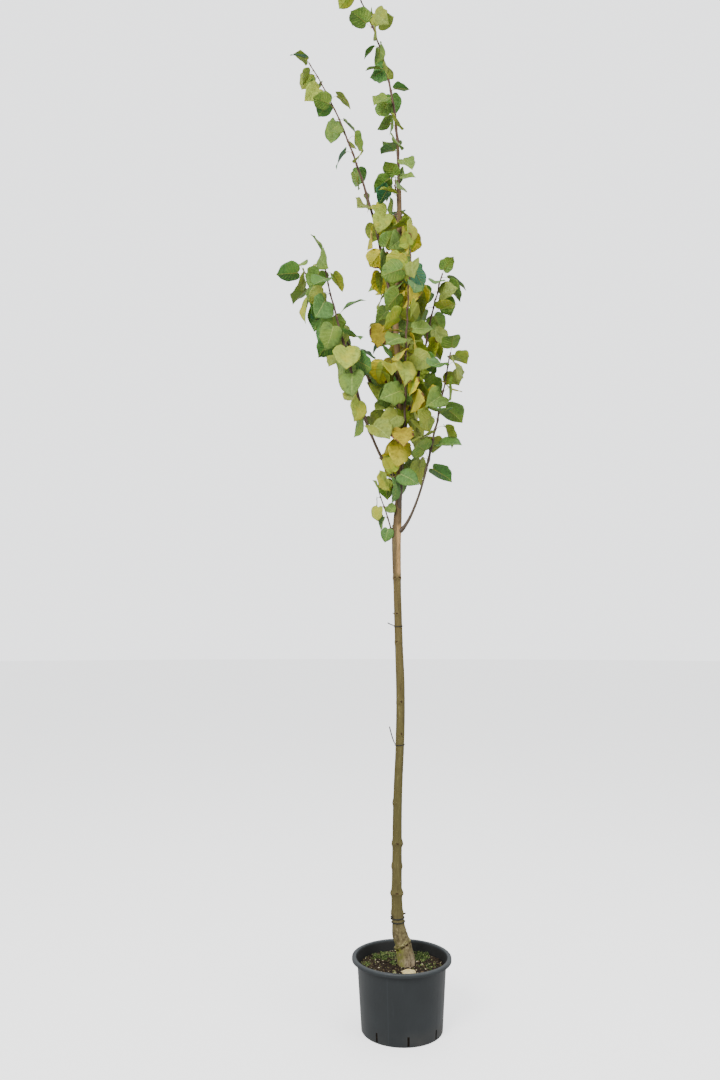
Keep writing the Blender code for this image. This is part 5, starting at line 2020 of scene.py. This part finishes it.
crumb_finishes = [soil_finish(f"crumb_{number + 1}", code, code, code)
                  for number, code in enumerate(CRUMB_TONES)]
crumbs = build_crumbs(crumb_finishes)
print("crumb faces:", len(crumbs.data.polygons))

# %% [markdown]
# ## Moss
#
# Moss grows in two large cushions behind the trunk's foot and in three small ones, as many short
# green points. Noise leaves gaps in each cushion and makes the points longer where it is thick.

# %% Moss
MOSS_SEED = 8
# Cushions: centre, half widths, points
MOSS = (
    (-0.078, 0.112, 0.066, 0.062, 2300),
    (0.084, 0.104, 0.044, 0.070, 1700),
    (-0.034, 0.022, 0.016, 0.026, 220),
    (-0.150, 0.020, 0.020, 0.035, 160),
    (0.110, -0.010, 0.045, 0.045, 120),
)
MOSS_TONES = ("2f4020", "5f7738", "1f2b12", "8d9c5e", "465a2a")
MOSS_PATCHES = 48.0  # scale of the gaps in a cushion
MOSS_COVER = 0.35  # raises how much of a cushion is covered
MOSS_THINNING = 0.5  # and how much less of it is at the edge
MOSS_SPREAD = 0.7
MOSS_LENGTHS = (0.005, 0.011)
MOSS_WIDTHS = (0.0009, 0.0019)
MOSS_LEAN = 0.9
MOSS_SUNK = 0.001


def build_moss(finishes):
    """Short points that stand up and lean about, thinner towards each cushion's edge."""
    dice = random.Random(MOSS_SEED)
    skin = Skin()
    wall = inner_wall(SOIL_HEIGHT) - WALL_ROOM
    for x, y, half_x, half_y, count in MOSS:
        for _ in range(count):
            away = dice.random() ** MOSS_SPREAD
            turn = dice.uniform(0.0, 2.0 * math.pi)
            spot_x = x + half_x * away * math.cos(turn)
            spot_y = y + half_y * away * math.sin(turn)
            thick = noise.noise(Vector((spot_x, spot_y, 0.0)) * MOSS_PATCHES)
            thick = thick + MOSS_COVER - away * MOSS_THINNING
            if thick < 0.0 or math.hypot(spot_x, spot_y) > wall:
                continue
            ground = soil_level(spot_x, spot_y)
            foot = Vector((spot_x, spot_y, ground - MOSS_SUNK))
            length = dice.uniform(*MOSS_LENGTHS) * (0.7 + min(thick, 0.6) * 1.6)
            lean_x = dice.uniform(-MOSS_LEAN, MOSS_LEAN)
            lean_y = dice.uniform(-MOSS_LEAN, MOSS_LEAN)
            lean = Vector((lean_x, lean_y, 0.8)).normalized()
            across = lean.orthogonal().normalized()
            other = lean.cross(across)
            width = dice.uniform(*MOSS_WIDTHS)
            ring = [foot + (across * math.cos(angle) + other * math.sin(angle)) * width
                    for angle in (0.0, 2.1, 4.2)]
            middle = [corner + lean * length * 0.55 for corner in ring]
            tip = foot + lean * length
            faces = [(0, 1, 4, 3), (1, 2, 5, 4), (2, 0, 3, 5), (3, 4, 6), (4, 5, 6), (5, 3, 6)]
            skin.join(ring + middle + [tip], faces, dice.randrange(len(finishes)))
    return make_piece("soil_moss", skin, finishes, smooth=False)


moss_finishes = [leaf_finish(f"moss_{number + 1}", code, code, 0.8)
                 for number, code in enumerate(MOSS_TONES)]
moss = build_moss(moss_finishes)
print("moss faces:", len(moss.data.polygons))

# %% [markdown]
# ## A dry flake
#
# One pale dry flake, round and domed, lies on the soil near the front of the pot. It is rings of
# corners with a slightly ragged edge, and Solidify makes it a thin shell.

# %% Dry flake
FLAKE_PLACE = (0.026, -0.088, SOIL_HEIGHT - 0.001)
FLAKE_RADIUS = 0.029
FLAKE_DOME = 0.012
FLAKE_TILT = 2.0  # degrees
FLAKE_THICK = 0.0012
FLAKE_WELD = 0.00005
FLAKE_SIDES = 40
# Its rings: share of the radius, share of the dome's height
FLAKE_ROWS = ((0.0, 1.0), (0.30, 0.96), (0.55, 0.83), (0.76, 0.64), (0.91, 0.38), (1.0, 0.08))


def build_flake(finish):
    corners = []
    for share, rise in FLAKE_ROWS:
        for side in range(FLAKE_SIDES):
            turn = 2.0 * math.pi * side / FLAKE_SIDES
            ragged = 1.0 + 0.03 * math.sin(3.0 * turn + 1.0) + 0.02 * math.sin(7.0 * turn)
            reach = FLAKE_RADIUS * share * ragged
            wave = 0.0012 * math.sin(5.0 * turn) * share
            corners.append((reach * math.cos(turn), reach * math.sin(turn), FLAKE_DOME * rise + wave))
    faces = []
    for row in range(len(FLAKE_ROWS) - 1):
        faces += band(row * FLAKE_SIDES, (row + 1) * FLAKE_SIDES, FLAKE_SIDES)
    tilt = Matrix.Rotation(math.radians(FLAKE_TILT), 4, "X")
    place = Matrix.Translation(FLAKE_PLACE) @ tilt
    skin = Skin()
    skin.join([place @ Vector(corner) for corner in corners], faces, 0)
    piece = make_piece("fallen_flake", skin, [finish])
    modify(piece, "Thickness", "SOLIDIFY", thickness=FLAKE_THICK, offset=0.0)
    modify(piece, "Closed middle", "WELD", merge_threshold=FLAKE_WELD)
    apply_modifiers(piece)
    return piece


flake = build_flake(soil_finish("dry_flake", "d3c08a", "bba768", "e2d8ae"))
print("flake faces:", len(flake.data.polygons))

# %% [markdown]
# ## Ties
#
# Four thin dark wires are left from the nursery, wound once round the stem with a tail. They are
# drawn as round tubes along the same turns as their solids.

# %% Ties
TIE_SIDES = 10
TIE_STEPS = 4
TIE_FULL = 0.95  # share of the solid's radius
TIE_LIFT = 0.8  # wire radii from the bark to the wire's middle
TAIL_RINGS = 7
TAIL_FULL = 1.25  # the two ends lie side by side in the tail


def tie_finish():
    finish = Finish("tie_wire", 0.55, Specular_IOR_Level=0.35)
    wear = finish.noise(300.0, 3.0)
    finish.feed("Base Color", finish.ramp(wear, (0.35, "0e0f0d"), (0.75, "2d2e29")))
    finish.bump(wear, 0.0003, 0.6)
    return finish.material


def build_tie(name, sizes, finish):
    """One turn round the trunk and the tail that stands off from it."""
    height, azimuth, out, up, wire = sizes
    turn = 360.0 / TRUNK_SIDES
    first = round(azimuth / turn) * turn
    points = []
    for step in range(TRUNK_SIDES + 1):
        level = height + (2.0 * wire + TIE_CLIMB) * step / TRUNK_SIDES
        centre, radius = trunk_at(level)
        angle = first + turn * step
        reach = radius + knob_at(level, angle) + wire * TIE_LIFT + FURROW
        points.append(centre + bearing(angle) * reach)
    tail = points[-1]
    bend_out, bend_up = TIE_BEND
    points.append(tail + bearing(azimuth) * out * bend_out + Vector((0.0, 0.0, up * bend_up)))
    points.append(tail + bearing(azimuth) * out + Vector((0.0, 0.0, up)))
    line = smooth_line(points, TIE_STEPS)
    skin = Skin()
    radii = [wire * TIE_FULL] * (len(line) - TAIL_RINGS) + [wire * TAIL_FULL] * TAIL_RINGS
    tube(skin, line, radii, TIE_SIDES, 0)
    return make_piece(name + "_wire", skin, [finish], [name])


TIE_FINISH = tie_finish()
for name, sizes in TIES.items():
    build_tie(name, sizes, TIE_FINISH)
print("ties:", len(TIES))

# %% [markdown]
# ## Camera
#
# The camera stands nearly four metres away at eye height and looks up a little, so that the pot
# is seen from above and the crown from below.

# %% Camera
CAMERA_PLACE = (-0.177, -3.813, 1.642)
CAMERA_RISE = 6.455  # degrees above the level
CAMERA_LENS = 28.5  # millimetres on a 36 mm sensor

camera_data = bpy.data.cameras.new("camera")
camera_data.lens = CAMERA_LENS
camera_data.sensor_width = 36.0
camera = put_object("camera", camera_data)
camera.location = CAMERA_PLACE
camera.rotation_euler = (math.radians(90.0 + CAMERA_RISE), 0.0, 0.0)
bpy.context.scene.camera = camera
print("the camera looks up by", CAMERA_RISE, "degrees")

# %% [markdown]
# ## Floor, surround and light
#
# The floor and a wide dome are pale and only show in the picture, so that they throw no light on
# the tree. A broad soft light comes from the front left, a weaker one from the front right and
# one from above.

# %% Floor, world and lights
DOME_RADIUS = 60.0
FLOOR_HEIGHT = -0.0006  # a hair under the pot
DOME_GLOW = 2.6
FLOOR_GLOW = 1.6
WORLD_GLOW = 0.9
# Lights: name, place, aim, size, watts, colour
LIGHTS = (
    ("key", (-2.8, -5.0, 5.0), (0.0, 0.0, 2.3), 2.6, 490.0, (1.0, 0.98, 0.95)),
    ("fill", (4.2, -3.6, 3.4), (0.0, 0.0, 2.2), 2.6, 160.0, (0.98, 0.99, 1.0)),
    ("top", (1.0, 1.5, 8.0), (0.0, 0.0, 2.4), 5.0, 200.0, (1.0, 1.0, 1.0)),
)


def only_seen(stage):
    """A stage piece that shows in the picture and throws no light of its own on the tree."""
    stage.visible_diffuse = False
    stage.visible_glossy = False
    stage.visible_transmission = False
    stage.visible_shadow = False
    stage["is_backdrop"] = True


def build_floor():
    finish = Finish("floor_pale", 0.9, Specular_IOR_Level=0.2, Emission_Strength=FLOOR_GLOW)
    cloud = finish.noise(0.8, 2.0)
    finish.feed("Base Color", finish.mix(cloud, "e2e2e2", "e7e7e6"))
    finish.feed("Emission Color", "f4f5f7")
    bpy.ops.mesh.primitive_grid_add(x_subdivisions=2, y_subdivisions=2,
                                    size=2.0 * DOME_RADIUS, location=(0.0, 0.0, FLOOR_HEIGHT))
    floor = bpy.context.object
    floor.name = "floor"
    floor.data.materials.append(finish.material)
    only_seen(floor)


def build_dome():
    finish = Finish("dome_white", 1.0, Specular_IOR_Level=0.0, Emission_Strength=DOME_GLOW)
    finish.feed("Base Color", (0.0, 0.0, 0.0, 1.0))
    finish.feed("Emission Color", "f4f5f7")
    bpy.ops.mesh.primitive_uv_sphere_add(segments=64, ring_count=32, radius=DOME_RADIUS)
    dome = bpy.context.object
    dome.name = "dome"
    dome.data.materials.append(finish.material)
    only_seen(dome)


def add_light(name, place, aim, size, power, colour):
    """A square soft light that looks at its aim."""
    data = bpy.data.lights.new(name, "AREA")
    data.shape = "SQUARE"
    data.size = size
    data.energy = power
    data.color = colour
    light = put_object(name, data)
    light.location = place
    light.rotation_euler = (Vector(aim) - Vector(place)).to_track_quat("-Z", "Y").to_euler()


build_floor()
build_dome()
world = bpy.data.worlds.new("studio")
world.use_nodes = True
background = world.node_tree.nodes["Background"]
background.inputs["Color"].default_value = tone("f3f4f4")
background.inputs["Strength"].default_value = WORLD_GLOW
bpy.context.scene.world = world
for light in LIGHTS:
    add_light(*light)
print("lights:", len(LIGHTS))

# %% [markdown]
# ## Measure and finish
#
# The dressed tree must not outgrow its solids, so both boxes are printed side by side.

# %% Sizes and finish
visual_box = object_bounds()
sizes = {"cad": [list(corner) for corner in cad_box], "visual": [list(corner) for corner in visual_box]}
for name, box in sizes.items():
    print(name, [[round(value, 3) for value in corner] for corner in box])
